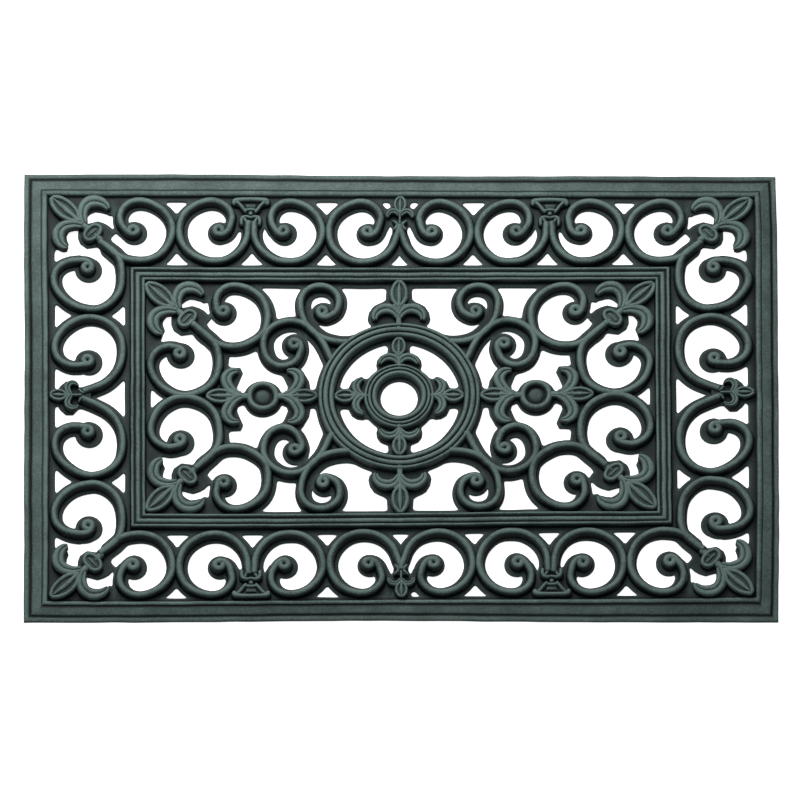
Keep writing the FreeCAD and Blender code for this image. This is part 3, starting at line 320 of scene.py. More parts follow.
def petals(soup, q, line, top=8.3):
    """Pair of curled petals along a middle line (s, t, half width): a full body
    with a broad outer lobe, a fine groove and a narrower inner lobe."""
    for sg in (1, -1):
        r = smooth([(p[0], sg * p[1], p[2]) for p in line], 1.1)
        t = np.gradient(r[:, :2], axis=0)
        t /= np.maximum(np.hypot(*t.T), 1e-9)[:, None]
        nrm = np.stack([-t[:, 1], t[:, 0]], 1) * sg
        k = r[:, 2]
        step = max(1, len(r) // 9)
        pick = sorted(set(list(range(0, len(r), step)) + [len(r) - 1]))
        edge = [tuple(r[i, :2] - nrm[i] * k[i]) for i in pick] + [tuple(r[i, :2] + nrm[i] * k[i]) for i in reversed(pick)]
        plate(soup, [q(*p) for p in edge], top - 1.5, bevel=0.5, tone=0.18, edge_tone=0.4)
        fade = np.linspace(0, 1, len(r))
        for off, part, low in ((-0.39, 0.65, 0.0), (0.47, 0.57, 0.35)):
            ridge(soup, [q(*(r[i, :2] + nrm[i] * k[i] * off), k[i] * part, top - low - 0.5 * max(0.0, fade[i] - 0.7) / 0.3) for i in pick], top=top, base=2.4)


def body(soup, q, pts, top=7.7):
    """Smooth raised middle where leaf, petals and stem run together."""
    plate(soup, [q(a, b) for a, b in pts] + [q(a, -b) for a, b in reversed(pts)], top, bevel=0.9, tone=0.92, edge_tone=0.85)


def corner_fleur(soup, origin):
    q = at((origin[0] - 0.8, origin[1] - 1.0), 137.0)
    petals(soup, q, [(14.0, 2.2, 3.6), (18.6, 4.8, 4.8), (23.0, 9.2, 5.8), (26.0, 15.6, 6.3), (25.4, 22.4, 6.6), (21.0, 27.8, 6.6), (15.2, 30.6, 5.4), (10.4, 30.8, 4.2), (7.4, 29.8, 2.6)], 8.4)
    leaf(soup, q, 19.0, 57.4, 10.6, 8.6, 2.8)
    ridge(soup, [q(7, 0, 4.2, 7.6), q(12, 0, 4.0, 7.8), q(17, 0, 3.4, 7.8), q(24, 0, 2.4, 7.8)], top=7.8, base=2.2)
    collar(soup, q)
    ridge(soup, [q(-6, 0, 4.4, 7.6), q(-11, 0, 4.2, 8.0)], top=8.2, base=2.0)


def collar(soup, q):
    """Oblong collar with a slot and a small bar in it."""
    rim = [(-8.2, 0), (-7.6, 6.0), (-4.4, 11.0), (1.0, 12.0), (6.4, 9.2), (8.4, 3.6), (8.4, -3.6), (6.4, -9.2), (1.0, -12.0), (-4.4, -11.0), (-7.6, -6.0)]
    plate(soup, [q(a, b) for a, b in rim], 6.0, bevel=0.7, tone=0.12, edge_tone=0.5)
    loop = [(-5.9, 0), (-5.3, 5.0), (-2.6, 8.9), (1.2, 9.4), (4.8, 6.9), (6.1, 2.6), (6.1, -2.6), (4.8, -6.9), (1.2, -9.4), (-2.6, -8.9), (-5.3, -5.0)]
    ridge(soup, [q(a, b, 2.5, 8.0) for a, b in loop], top=8.0, base=3.0, closed=True)
    ridge(soup, [q(0.2, -5.0, 1.25, 7.2), q(0.2, 0, 1.35, 7.4), q(0.2, 5.0, 1.25, 7.2)], top=7.4, base=3.0)


def axis_fleur(soup):
    q = at((0, 82), 90)
    petals(soup, q, [(5.5, 1.0, 3.2), (9.5, 3.0, 4.2), (13.0, 6.5, 5.3), (14.9, 11.5, 6.0), (13.8, 17.5, 5.8), (10.5, 22.0, 4.9), (6.5, 24.0, 4.0), (3.2, 23.8, 2.8)])
    body(soup, q, [(-4, 2.6), (4, 2.8), (9, 3.8), (13.5, 6.2), (17, 7.4), (20, 5.6), (22, 2.0)])
    leaf(soup, q, 16.5, 46.6, 9.6, 8.5, 2.6)
    ridge(soup, [q(-6, 0, 3.4, 7.8), q(2, 0, 3.0, 7.8), q(9, 0, 3.2, 8.0), q(16, 0, 2.8, 8.2), q(23, 0, 1.8, 8.0)], top=8.0, base=2.0)


def small_fleur_long(soup):
    q = at((0, 200), 90)
    petals(soup, q, [(0.6, 0.8, 2.4), (3.4, 3.2, 2.9), (4.9, 6.6, 3.0), (3.6, 10.0, 2.9), (0.8, 12.0, 2.4), (-1.6, 12.3, 1.5)], 8.0)
    leaf(soup, q, 3.0, 20.6, 6.9, 8.2, 1.9)
    ridge(soup, [q(-9, 0, 1.7, 7.8), q(-3, 0, 1.6, 7.9), q(4, 0, 1.3, 8.0)], top=8.0, base=2.0)
    for sg in (1, -1):
        ridge(soup, [q(-6.0, sg * 6.6, 1.3, 7.2), q(-7.8, sg * 4.4, 1.9, 7.8), q(-10.4, sg * 2.4, 2.2, 8.0), q(-13.0, sg * 3.4, 2.2, 8.0), q(-15.4, sg * 5.4, 1.8, 7.8)], top=8.0, base=2.0)
    plate(soup, [q(-5.6, 0), q(-5.0, 4), q(-5.4, 7.8), q(-8.0, 6.8), q(-10.4, 4.4), q(-13, 5.6), q(-16, 7.4), q(-17, 4.4), q(-17, -4.4), q(-16, -7.4), q(-13, -5.6), q(-10.4, -4.4), q(-8.0, -6.8), q(-5.4, -7.8), q(-5.0, -4)],
          6.0, tone=0.2)


def small_fleur_short(soup):
    q = at((-329, 0), 180)
    petals(soup, q, [(-0.5, 1.0, 2.4), (1.4, 3.6, 3.2), (2.8, 7.2, 3.5), (2.0, 11.0, 3.4), (-1.5, 13.6, 3.1), (-5.5, 13.2, 2.3), (-8.2, 10.8, 1.1)], 8.1)
    leaf(soup, q, 2.8, 20.8, 6.9, 8.3, 1.95)
    ridge(soup, [q(-11, 0, 1.7, 7.8), q(-4, 0, 1.7, 7.9), q(5, 0, 1.5, 8.0)], top=8.0, base=2.0)
    for sg in (1, -1):
        ridge(soup, [q(-9.0, sg * 6.4, 1.4, 7.2), q(-11.0, sg * 3.8, 1.9, 7.8), q(-13.6, sg * 2.4, 2.2, 8.0), q(-17.0, sg * 4.2, 2.4, 8.2)], top=8.0, base=2.0)
    plate(soup, [q(-8.2, 0), q(-8.0, 4), q(-8.4, 7.8), q(-11.0, 6.8), q(-13, 4.6), q(-19, 7.6), q(-21, 6.4), q(-21, -6.4), q(-19, -7.6), q(-13, -4.6), q(-11.0, -6.8), q(-8.4, -7.8), q(-8.0, -4)], 6.0, tone=0.2)


def ring_fleur(soup, origin, axis):
    q = at(origin, axis)
    petals(soup, q, [(3.0, 1.0, 3.0), (6.3, 3.0, 3.9), (8.6, 6.5, 4.4), (9.2, 10.8, 4.5), (7.4, 15.2, 4.1), (4.6, 17.8, 3.2), (2.4, 18.8, 2.1)], 8.2)
    body(soup, q, [(-1, 2.2), (3, 2.6), (6.5, 4.0), (10, 5.4), (13, 4.4), (15, 1.6)])
    leaf(soup, q, 10.0, 30.8, 7.8, 8.4, 2.15)
    ridge(soup, [q(-1, 0, 3.0, 8.0), q(5, 0, 2.8, 8.0), q(12, 0, 1.8, 8.0)], top=8.0, base=2.0)


def boss_fleur(soup):
    bx = -136.0
    q = at((bx, 0), 180)
    petals(soup, q, [(22.5, 1.0, 3.6), (28.0, 3.6, 4.8), (32.8, 8.4, 5.6), (36.2, 14.8, 6.0), (36.4, 20.8, 6.0), (33.2, 25.6, 5.2), (28.8, 27.6, 3.9), (25.4, 27.4, 2.4)], 8.4)
    body(soup, q, [(13, 2.8), (20, 3.6), (25, 7.0), (29.5, 10.2), (33, 8.6), (36, 5.0), (38, 1.8)])
    leaf(soup, q, 28.0, 57.6, 8.6, 8.5, 2.4)
    ridge(soup, [q(14, 0, 3.0, 7.8), q(24, 0, 3.2, 8.0), q(33, 0, 2.0, 8.0)], top=8.0, base=2.0)
    q = at((bx, 0), 0)
    petals(soup, q, [(22.5, 1.0, 3.6), (28.0, 3.6, 4.8), (32.8, 8.4, 5.6), (36.2, 14.8, 6.0), (36.4, 20.8, 6.0), (33.2, 25.6, 5.2), (28.8, 27.6, 3.9), (25.4, 27.4, 2.4)], 8.4)
    body(soup, q, [(13, 2.8), (20, 3.6), (25, 7.0), (29.5, 9.6), (32.5, 8.2), (35, 4.8), (37, 1.8)])
    leaf(soup, q, 27.0, 55.8, 8.2, 8.5, 2.3)
    ridge(soup, [q(13, 0, 3.2, 7.8), q(20, 0, 3.0, 8.0), q(27, 0, 2.6, 8.0), q(34, 0, 1.8, 8.0)], top=8.0, base=2.0)
    turned(soup, bx * G, 0, [(16.9, 1.9, 0.03), (16.2, 3.0, 0.03), (15.6, 5.4, 0.15), (14.9, 7.2, 0.6), (13.6, 8.2, 1.0), (12.2, 8.4, 1.0), (11.0, 8.0, 0.85), (9.9, 6.6, 0.3), (9.1, 5.0, 0.03),
                                (8.4, 4.2, 0.0), (7.6, 4.3, 0.03), (6.8, 5.0, 0.2), (5.6, 5.7, 0.45), (3.4, 6.1, 0.55), (0.02, 6.2, 0.5)], 56)


def vase_collar(soup):
    c = -149.2

    def line(pts, top=8.0, base=2.0):
        ridge(soup, [((c + a) * G, b * G, w * G) + tuple(r) for a, b, w, *r in pts], top=top, base=base)

    def flat(half, top, tone):
        plate(soup, [((c + a) * G, b * G) for a, b in half] + [((c - a) * G, b * G) for a, b in reversed(half)], top, tone=tone)
    flat([(5, 220.2), (15, 220), (19.6, 217.4), (19.4, 212.6), (15.6, 210.4), (11.6, 208.8), (8.4, 203.8), (5, 201.4)], 4.6, 0.05)
    flat([(2, 212.6), (5.6, 212.2), (4.6, 208.2), (2, 208.0)], 6.2, 0.55)
    line([(-16.6, 213.6, 3.3, 7.6), (-15.6, 215.8, 3.4, 7.9), (-9, 216.8, 2.9, 8.0), (0, 217.0, 2.8, 8.1), (9, 216.8, 2.9, 8.0), (15.6, 215.8, 3.4, 7.9), (16.6, 213.6, 3.3, 7.6)])
    line([(-5.6, 205.4, 2.0, 7.6), (0, 206.2, 2.2, 7.8), (5.6, 205.4, 2.0, 7.6)])
    flat([(3, 200.4), (7.4, 200.4), (11.4, 197.6), (11.8, 191), (9.6, 187.8), (6.8, 188.2), (5.8, 183)], 5.0, 0.08)
    for sg in (1, -1):
        line([(sg * 13.6, 214.2, 2.3, 7.8), (sg * 10.6, 211.2, 2.3, 7.9), (sg * 7.8, 207.4, 2.3, 7.9), (sg * 5.4, 204.2, 2.2, 7.7)])
        line([(0, 197.3, 1.9, 7.6), (sg * 4.6, 198.2, 2.3, 8.0), (sg * 8.0, 197.0, 2.5, 8.1), (sg * 9.2, 193.6, 2.5, 8.1), (sg * 9.0, 190.4, 2.2, 7.8)])
        line([(sg * 6.4, 196.2, 2.0, 7.8), (sg * 4.8, 193.6, 2.2, 8.0), (sg * 3.4, 190.4, 2.3, 8.2), (sg * 3.0, 186.0, 2.6, 8.3), (sg * 3.2, 181.0, 3.2, 8.4)])
    turned(soup, c * G, 202.0 * G, [(2.5, 1.9, 0.05), (2.3, 5.4, 0.2), (1.9, 6.6, 0.7), (1.1, 7.2, 1.0), (0.02, 7.4, 1.0)], 24)


# ---------------------------------------------------------------------------
# Web: signed distance of its outline, joined with small fillets, cut out of a
# fine grid. Each cell belongs to the piece whose ground it is.
# ---------------------------------------------------------------------------
STEP = 1.25
X0, Y1 = -330.0, 208.75
nx, ny = int(round(-X0 / STEP)) + 1, int(round(Y1 / STEP)) + 1
gx = X0 + STEP * np.arange(nx)
gy = STEP * np.arange(ny)
PX, PY = np.meshgrid(gx, gy, indexing="ij")


def d_path(pts):
    """Distance to a polyline, worked out only near it."""
    out = np.full(PX.shape, 60.0)
    pts = np.asarray(pts)[:, :2]
    for i in range(0, len(pts) - 1, 1):
        a, b = pts[i], pts[i + 1]
        lo, hi = np.minimum(a, b) - 16.0, np.maximum(a, b) + 16.0
        i0, i1 = max(0, int((lo[0] - X0) / STEP)), min(nx, int((hi[0] - X0) / STEP) + 2)
        j0, j1 = max(0, int(lo[1] / STEP)), min(ny, int(hi[1] / STEP) + 2)
        if i0 >= i1 or j0 >= j1:
            continue
        x, y = PX[i0:i1, j0:j1] - a[0], PY[i0:i1, j0:j1] - a[1]
        d = b - a
        t = np.clip((x * d[0] + y * d[1]) / max(d @ d, 1e-9), 0, 1)
        out[i0:i1, j0:j1] = np.minimum(out[i0:i1, j0:j1], np.hypot(x - t * d[0], y - t * d[1]))
    return out


def d_poly(pts):
    """Signed distance to a closed outline given in grid steps."""
    p = np.array(pts, float) * G
    d = np.full(PX.shape, 1e9)
    inside = np.zeros(PX.shape, bool)
    n = len(p)
    for i in range(n):
        a, b = p[i], p[(i + 1) % n]
        e = b - a
        x, y = PX - a[0], PY - a[1]
        t = np.clip((x * e[0] + y * e[1]) / max(e @ e, 1e-9), 0, 1)
        d = np.minimum(d, np.hypot(x - t * e[0], y - t * e[1]))
        c = (a[1] > PY) != (b[1] > PY)
        with np.errstate(divide="ignore", invalid="ignore"):
            inside ^= c & (PX < (b[0] - a[0]) * (PY - a[1]) / (b[1] - a[1] if b[1] != a[1] else 1e-9) + a[0])
    return np.where(inside, -d, d)


def blend(a, b, k=3.2):
    h = np.maximum(k - np.abs(a - b), 0) / k
    return np.minimum(a, b) - h * h * k * 0.25


paths = {k: scroll_path(k) for k in SCROLL}
radius = np.hypot(PX, PY)
ground = {}
ax_, ay_ = np.abs(PX), np.abs(PY)
ground["border_rail_top"] = (HY - WEBY - 1.5) - ay_
ground["border_rail_left"] = (HX - WEBX - 1.5) - ax_


def box_ring(hx, hy, w):
    o = np.maximum(ax_ - hx - 0.9, ay_ - hy - 0.8)
    i = np.maximum(ax_ - (hx - w - 1.0), ay_ - (hy - w - 0.4))
    return np.maximum(o, -i)


inner = box_ring(IX, IY, IFW)
diag = (IX - ax_) < (IY - ay_)
ground["inner_rail_left"] = np.where(diag, inner, inner + 0.01)
ground["inner_rail_top"] = np.where(diag, inner + 0.01, inner)
ground["medallion_ring"] = np.maximum(radius - RO, RI - radius)
ground["hub_ring"] = np.maximum(radius - HO, HI - radius)


def scroll_ground(keys):
    d = None
    for k in keys:
        e = np.array(SCROLL[k][1]) * G
        half, dx, dy, eye = FLANGE[k]
        p = paths[k] + np.array([dx, dy])
        if k in "CD":
            t = np.gradient(p, axis=0)
            t /= np.hypot(*t.T)[:, None]
            p = p + np.stack([-t[:, 1], t[:, 0]], 1) * (1.3 if k == "D" else -1.3)
        away = p - e
        away = p + (1.0 if k[0] in "SL" else 0.3) * away / np.maximum(np.hypot(*away.T), 1e-6)[:, None]
        cut = 8 if k in ("S1", "L1", "A", "B") else 0
        g = np.minimum(np.minimum(d_path(p[cut:]), d_path(away[cut:-30])) - half, np.hypot(PX - e[0] - dx, PY - e[1] - dy) - eye)
        d = g if d is None else blend(d, g, 2.0)
    return d


for name, keys in GROUPS.items():
    ground[name] = scroll_ground(keys)

CORNER_GROUND = [
    (-355, 225), (-285, 225), (-286, 204), (-289.5, 202.2), (-292, 203.8), (-299, 205.8), (-304, 206.2), (-308.8, 204.0), (-313.4, 199.8), (-315.6, 196.2), (-316.5, 191.8), (-309.3, 193.0), (-301.3, 195.2), (-295.3, 193.2),
    (-290.5, 190.4), (-287.0, 186.6), (-283.0, 185.0), (-285.2, 181.6), (-288.4, 177.6), (-287.4, 171), (-284, 166), (-291, 158.6), (-299, 166.8), (-302, 167.4), (-312, 165.9), (-318.6, 171), (-320.6, 177),
    (-320.4, 182), (-320.2, 186.6), (-323.7, 189.2), (-327.8, 186.8), (-331.2, 182.6), (-332.8, 179.2), (-332.4, 174.4), (-330.6, 169.4), (-332.6, 164.9), (-337, 163.8), (-343.3, 165), (-345, 162.6), (-355, 162)]


def both(q, pts):
    g = [q(a, b) for a, b in pts] + [q(a, -b) for a, b in reversed(pts)]
    return [(x / G, y / G) for x, y in g]


ground["outer_corner_fleur"] = d_poly(CORNER_GROUND) - 0.3
ground["inner_corner_fleur"] = d_poly([(min(x + 94.7, -190.0), y - 94.4) for x, y in CORNER_GROUND]) - 1.6
ground["axis_fleur_top"] = d_poly(both(at((0, 82), 90), [(-10, 20), (-3, 24.5), (-0.8, 27.4), (2, 30), (6, 31.2), (13, 30), (19.7, 25.9), (22.4, 21.6), (25, 16.1), (27.4, 13.2), (40, 12.6), (55, 12.5)]))
ground["ring_fleur_top"] = d_poly(both(at((0, 34), 90), [(-6, 19), (-1.5, 21.2), (2.5, 22.8), (8, 22.0), (13, 18.6), (15.4, 13.5), (16.4, 11.2), (21.3, 10.8), (25, 11.4), (30, 13), (36, 16)]))
ground["ring_fleur_left"] = d_poly(both(at((-34, 0), 180), [(-6, 19), (-1.5, 21.2), (2.5, 22.8), (8, 22.0), (13, 18.6), (15.4, 13.5), (16.4, 11.2), (21.3, 10.8), (25, 11.4), (30, 13), (36, 16)]))
ground["long_side_fleur_top"] = d_poly(both(at((0, 200), 90), [(-14, 6), (-4, 11), (0, 17), (6, 17), (10, 12), (12, 9.5), (30, 10)]))
ground["short_side_fleur_left"] = d_poly(both(at((-329, 0), 180), [(-16, 6), (-8, 12), (-3, 18), (4, 18), (9.5, 13), (12, 9), (40, 9)]))
ground["boss_fleur_left"] = np.minimum(np.minimum(
    d_poly(both(at((-136.5, 0), 0), [(12, 9), (20, 6.5), (24.5, 8.5), (25.6, 13), (22.4, 21), (19.5, 28), (22, 34), (32, 34.5), (41, 29), (46.5, 19), (48, 10), (62, 9.5)])),
    d_poly(both(at((-136.5, 0), 180), [(12, 9), (20, 6.5), (24.5, 8.5), (25.6, 13), (22.4, 21), (19.5, 28), (22, 34), (32, 34.5), (41, 29), (46.5, 19), (48, 10), (62, 9.5)]))),
    np.hypot(PX + 136.0 * G, PY) - 18.2)
ground["vase_collar"] = d_poly([(-174, 223), (-124, 223), (-126, 209), (-134.8, 198), (-137.3, 186), (-161.3, 186), (-163.8, 198), (-172, 209)])
PATCHES = [  # fillets of web between neighbours: owner, outline
    ("corner_scrolls", [(-283, 149), (-262, 146), (-268, 138), (-277, 138)]), ("inner_corner_scrolls", [(-182, 55), (-169, 50), (-170, 40), (-176, 36)]),
    ("hook_scrolls", [(-100, 82), (-86, 74), (-96, 66), (-104, 76)]), ("hook_scrolls", [(-76, 62), (-58, 60), (-66, 48), (-74, 52)]),
    ("hook_scrolls", [(-112, 36), (-100, 40), (-97, 28), (-112, 28)]), ("hook_scrolls", [(-104, 50), (-98, 44), (-92, 48), (-97, 56)]),
    ("corner_scrolls", [(-290, 223), (-272, 223), (-274, 208), (-284, 208)]), ("inner_corner_scrolls", [(-197, 128), (-182, 128), (-180, 112), (-193, 110)]),
    ("inner_corner_fleur", [(-262, 74), (-236, 70), (-240, 58), (-262, 46)])]
for owner, outline in PATCHES:
    ground[owner] = np.minimum(ground[owner], d_poly(outline))

order = list(ground)
field = None
for name in order:
    field = ground[name] if field is None else blend(field, ground[name])
hub_hole = HI - radius
field = np.maximum(field - 0.2, hub_hole)
stack = np.stack([ground[n] for n in order])


foot_shade = np.clip(np.minimum(HY - 22.6 - ay_, HX - 22.6 - ax_) / 3.0, 0.15, 1.0)  # painted shade: the web darkens towards the foot of the border


def web_cells():
    """Marching squares over the quarter grid: vertices, polygons, owner."""
    verts, tone, polys, own = [], [], [], []
    index = {}

    def corner(i, j):
        k = (i, j)
        if k not in index:
            index[k] = len(verts)
            verts.append((gx[i], gy[j], WEB))
            # web tone: lighter towards its outline, darker deep under the bars, times the painted shade at the border
            # foot
            tone.append((0.12 + 0.40 * math.exp(min(0.0, field[i, j]) / 1.6)) * foot_shade[i, j])
        return index[k]

    def cross(i, j, i2, j2):
        k = (i, j, i2, j2) if (i, j) < (i2, j2) else (i2, j2, i, j)
        if k not in index:
            a, b = field[k[0], k[1]], field[k[2], k[3]]
            t = a / (a - b)
            index[k] = len(verts)
            verts.append((gx[k[0]] + (gx[k[2]] - gx[k[0]]) * t, gy[k[1]] + (gy[k[3]] - gy[k[1]]) * t, 1.45))
            tone.append(0.55)
        return index[k]
    ins = field < 0
    mid = 0.25 * (stack[:, :-1, :-1] + stack[:, 1:, :-1] + stack[:, :-1, 1:] + stack[:, 1:, 1:])
    owner = np.argmin(mid, axis=0)
    for i in range(nx - 1):
        for j in range(ny - 1):
            c = [(i, j), (i + 1, j), (i + 1, j + 1), (i, j + 1)]
            s = [ins[p] for p in c]
            m = sum(s)
            if m == 0:
                continue
            if m == 4:
                polys.append([corner(*p) for p in c])
                own.append(owner[i, j])
                continue
            if m == 2 and s[0] == s[2]:
                for k in range(4):
                    if s[k]:
                        polys.append([corner(*c[k]), cross(*c[k], *c[(k + 1) % 4]), cross(*c[k], *c[k - 1])])
                        own.append(owner[i, j])
                continue
            poly = []
            for k in range(4):
                if s[k]:
                    poly.append(corner(*c[k]))
                if s[k] != s[(k + 1) % 4]:
                    poly.append(cross(*c[k], *c[(k + 1) % 4]))
            polys.append(poly)
            own.append(owner[i, j])
    return np.array(verts), np.array(tone), polys, np.array(own)


def solid_web(soup, verts, tone, polys):
    """Closes a patch of web: its top, a flat underside and walls."""
    key = np.round(verts * 2000).astype(np.int64)
    uniq, first, inv = np.unique(key, axis=0, return_index=True, return_inverse=True)
    inv = inv.reshape(-1)
    v, a = verts[first], tone[first]
    polys = [[int(inv[i]) for i in p] for p in polys]
    used = {}
    for p in polys:
        for k in range(len(p)):
            e = (p[k], p[(k + 1) % len(p)])
            used[e] = used.get(e, 0) + 1
    rim = [e for e in used if (e[1], e[0]) not in used]
    n = len(v)
    low = v.copy()
    low[:, 2] = 0.0
    allv, alla = [v, low], [a, np.full(n, 0.1)]
    faces = [tuple(p) for p in polys] + [tuple(n + i for i in reversed(p)) for p in polys]
    m = 2 * n
    seam_v, seam_f = [], []
    for p, q in rim:
        if v[p, 2] < WEB - 0.01 and v[q, 2] < WEB - 0.01:
            faces.append((q, p, n + p, n + q))
        else:
            seam_v += [v[q], v[p], low[p], low[q]]
            seam_f.append((m, m + 1, m + 2, m + 3))
            m += 4
    if seam_v:
        allv.append(np.array(seam_v))
        alla.append(np.full(len(seam_v), 0.3))
    soup.add(np.concatenate(allv), np.concatenate(alla), faces + seam_f)


QUADS = [(1, 1, "upper_left"), (-1, 1, "upper_right"), (1, -1, "lower_left"), (-1, -1, "lower_right")]


def target(name, sx, sy):
    """CAD node of a quarter piece in one of the four quarters."""
    v, h = ("top" if sy > 0 else "bottom"), ("left" if sx > 0 else "right")
    if name in ("medallion_ring", "hub_ring"):
        return name
    if name.endswith("_top"):
        return name[:-4] + "_" + v
    if name.endswith("_left"):
        return name[:-5] + "_" + h
    if name == "long_side_scrolls":
        return name + "_" + v
    return "%s_%s_%s" % (name, "upper" if sy > 0 else "lower", h)


pieces = {}


def soup_of(node):
    return pieces.setdefault(node, Soup())


# web of every piece, gathered from the four quarters
wv, wt, wp, wo = web_cells()
gathered = {}
for k, name in enumerate(order):
    mine = [wp[i] for i in np.nonzero(wo == k)[0]]
    if not mine:
        continue
    for sx, sy, _ in QUADS:
        node = target(name, sx, sy)
        g = gathered.setdefault(node, ([], [], [], [0]))
        used = sorted({i for p in mine for i in p})
        remap = {u: g[3][0] + n for n, u in enumerate(used)}
        g[0].append(wv[used] * np.array([sx, sy, 1.0]))
        g[1].append(wt[used])
        flip = sx * sy < 0
        g[2].extend([[remap[i] for i in (reversed(p) if flip else p)] for p in mine])
        g[3][0] += len(used)
for node, g in gathered.items():
    solid_web(soup_of(node), np.concatenate(g[0]), np.concatenate(g[1]), g[2])

# scroll bars
for name, keys in GROUPS.items():
    s = Soup()
    for k in keys:
        p = paths[k]
        n = len(p)
        wide = np.ones(n)
        wide[-17:] = np.linspace(1.0, 0.96, 17)
        high = np.ones(n)
        high[-29:] = np.linspace(1.0, 0.975, 29)
        sweep(s, p, BAR, wide=wide, high=high, cap=(False, True))
    for sx, sy, _ in QUADS:
        soup_of(target(name, sx, sy)).join(s.mirrored(sx, sy))

# ornaments
quarter = {"outer_corner_fleur": lambda s: corner_fleur(s, (-305.5, 181.0)), "inner_corner_fleur": lambda s: corner_fleur(s, (-210.8, 86.6)),
           "vase_collar": vase_collar}
for name, make in quarter.items():
    s = Soup()
    make(s)
    for sx, sy, _ in QUADS:
        soup_of(target(name, sx, sy)).join(s.mirrored(sx, sy))
halves = {"axis_fleur_top": axis_fleur, "long_side_fleur_top": small_fleur_long, "short_side_fleur_left": small_fleur_short, "boss_fleur_left": boss_fleur,
          "ring_fleur_top": lambda s: ring_fleur(s, (0, 34), 90), "ring_fleur_left": lambda s: ring_fleur(s, (-34, 0), 180)}
for name, make in halves.items():
    s = Soup()
    make(s)
    for sx, sy in (((1, 1), (1, -1)) if name.endswith("_top") else ((1, 1), (-1, 1))):
        soup_of(target(name, sx, sy)).join(s.mirrored(sx, sy))

s = Soup()
plate(s, [(x * G, y * G) for x, y in ((10, -222), (20, -222), (21, -214), (16, -209), (10, -211))], 1.85, base=0.1, bevel=0.4, tone=0.3)
soup_of("long_side_fleur_bottom").join(s.mirrored(-1, 1))  # the one on the other side is open

# turned rings: (radius, height, tone) from the outer foot inwards and back
MEDALLION = [(RO - 1.9, 0.0, 0.1), (RO - 1.9, 1.9, 0.05), (RO - 2.4, 3.2, 0.08), (RO - 2.8, 5.6, 0.35), (RO - 3.3, 7.4, 0.8), (RO - 4.2, 8.5, 1.0), (RO - 5.2, 8.8, 1.0), (RO - 6.1, 8.3, 0.9),
             (RO - 6.5, 7.3, 0.12), (RO - 6.9, 6.8, 0.0), (RO - 7.3, 7.3, 0.1), (RO - 7.7, 8.3, 0.85), (RO - 8.2, 8.9, 1.0), (RO - 9.6, 9.2, 0.96), (RO - 11.2, 8.9, 0.95), (RO - 11.7, 8.2, 0.7), (RO - 12.1, 7.4, 0.12), (RO - 12.5, 6.9, 0.0), (RO - 12.9, 7.4, 0.12),
             (RO - 13.3, 8.3, 0.8), (RO - 13.9, 8.9, 1.0), (RO - 15.1, 9.2, 1.0), (RO - 16.4, 8.6, 0.95), (RO - 17.3, 7.2, 0.55), (RO - 17.9, 5.2, 0.2), (RO - 18.3, 3.0, 0.06), (RO - 18.9, 1.9, 0.05), (RO - 18.9, 0.0, 0.1)]
HUB = [(HO - 1.6, 0.0, 0.1), (HO - 1.6, 1.9, 0.05), (HO - 2.0, 3.4, 0.1), (HO - 2.5, 6.2, 0.45), (HO - 3.2, 7.9, 0.9), (HO - 4.2, 8.5, 1.0), (HO - 5.0, 8.0, 0.8), (HO - 5.4, 7.0, 0.1), (HO - 5.7, 6.5, 0.0), (HO - 6.0, 7.0, 0.1),
       (HO - 6.4, 7.9, 0.7), (HO - 7.1, 8.4, 1.0), (HO - 8.1, 8.5, 0.95), (HO - 8.7, 7.8, 0.6), (HO - 9.1, 6.9, 0.1), (HO - 9.4, 6.4, 0.0), (HO - 9.7, 6.9, 0.1), (HO - 10.1, 8.0, 0.8), (HO - 10.9, 8.8, 1.0), (HO - 12.2, 9.0, 1.0), (HO - 13.3, 8.3, 0.9),
       (HO - 14.2, 6.4, 0.4), (HO - 14.8, 3.4, 0.1), (HO - 15.2, 1.9, 0.05), (HO - 15.2, 0.0, 0.1)]
turned(soup_of("medallion_ring"), 0, 0, MEDALLION, 300)
turned(soup_of("hub_ring"), 0, 0, HUB, 200)

# rails: distance inwards from the outline, height, tone
BORDER = [(0.0, 0.0, 0.15), (0.0, 0.9, 0.3), (0.35, 1.5, 0.75), (1.2, 1.8, 0.84), (3.2, 1.85, 0.82), (4.4, 1.75, 0.5), (5.0, 1.35, 0.05), (5.7, 1.05, 0.0), (6.4, 1.4, 0.0), (6.8, 2.2, 0.15), (7.4, 2.7, 0.5),
          (8.4, 2.85, 0.70), (11.0, 3.2, 0.74), (14.0, 3.65, 0.74), (15.3, 3.85, 0.78), (15.8, 3.75, 0.5), (16.25, 3.45, 0.08), (16.7, 3.6, 0.2), (17.2, 4.3, 0.75), (18.2, 4.85, 0.95), (19.4, 5.0, 1.0), (20.5, 4.85, 1.0),
          (21.4, 4.3, 0.7), (22.0, 3.2, 0.2), (22.5, 2.2, 0.05), (23.0, 1.95, 0.05), (23.0, 0.0, 0.1)]
FRAME = [(RF - 0.5, 0.0, 0.1), (RF - 0.5, 1.95, 0.05), (RF, 2.2, 0.03), (RF + 0.4, 4.2, 0.06), (RF + 0.8, 6.2, 0.45), (RF + 1.3, 7.3, 0.95), (RF + 2.4, 7.6, 1.0), (RF + 3.2, 7.1, 0.85), (RF + 3.9, 5.7, 0.2),
         (RF + 4.5, 5.1, 0.0), (RF + 5.1, 5.6, 0.12), (RF + 5.7, 6.3, 0.7), (RF + 6.5, 6.65, 0.95), (IFW / 2, 6.7, 1.0)]
FRAME += [(IFW - d, z, t) for d, z, t in reversed(FRAME[:-1])]


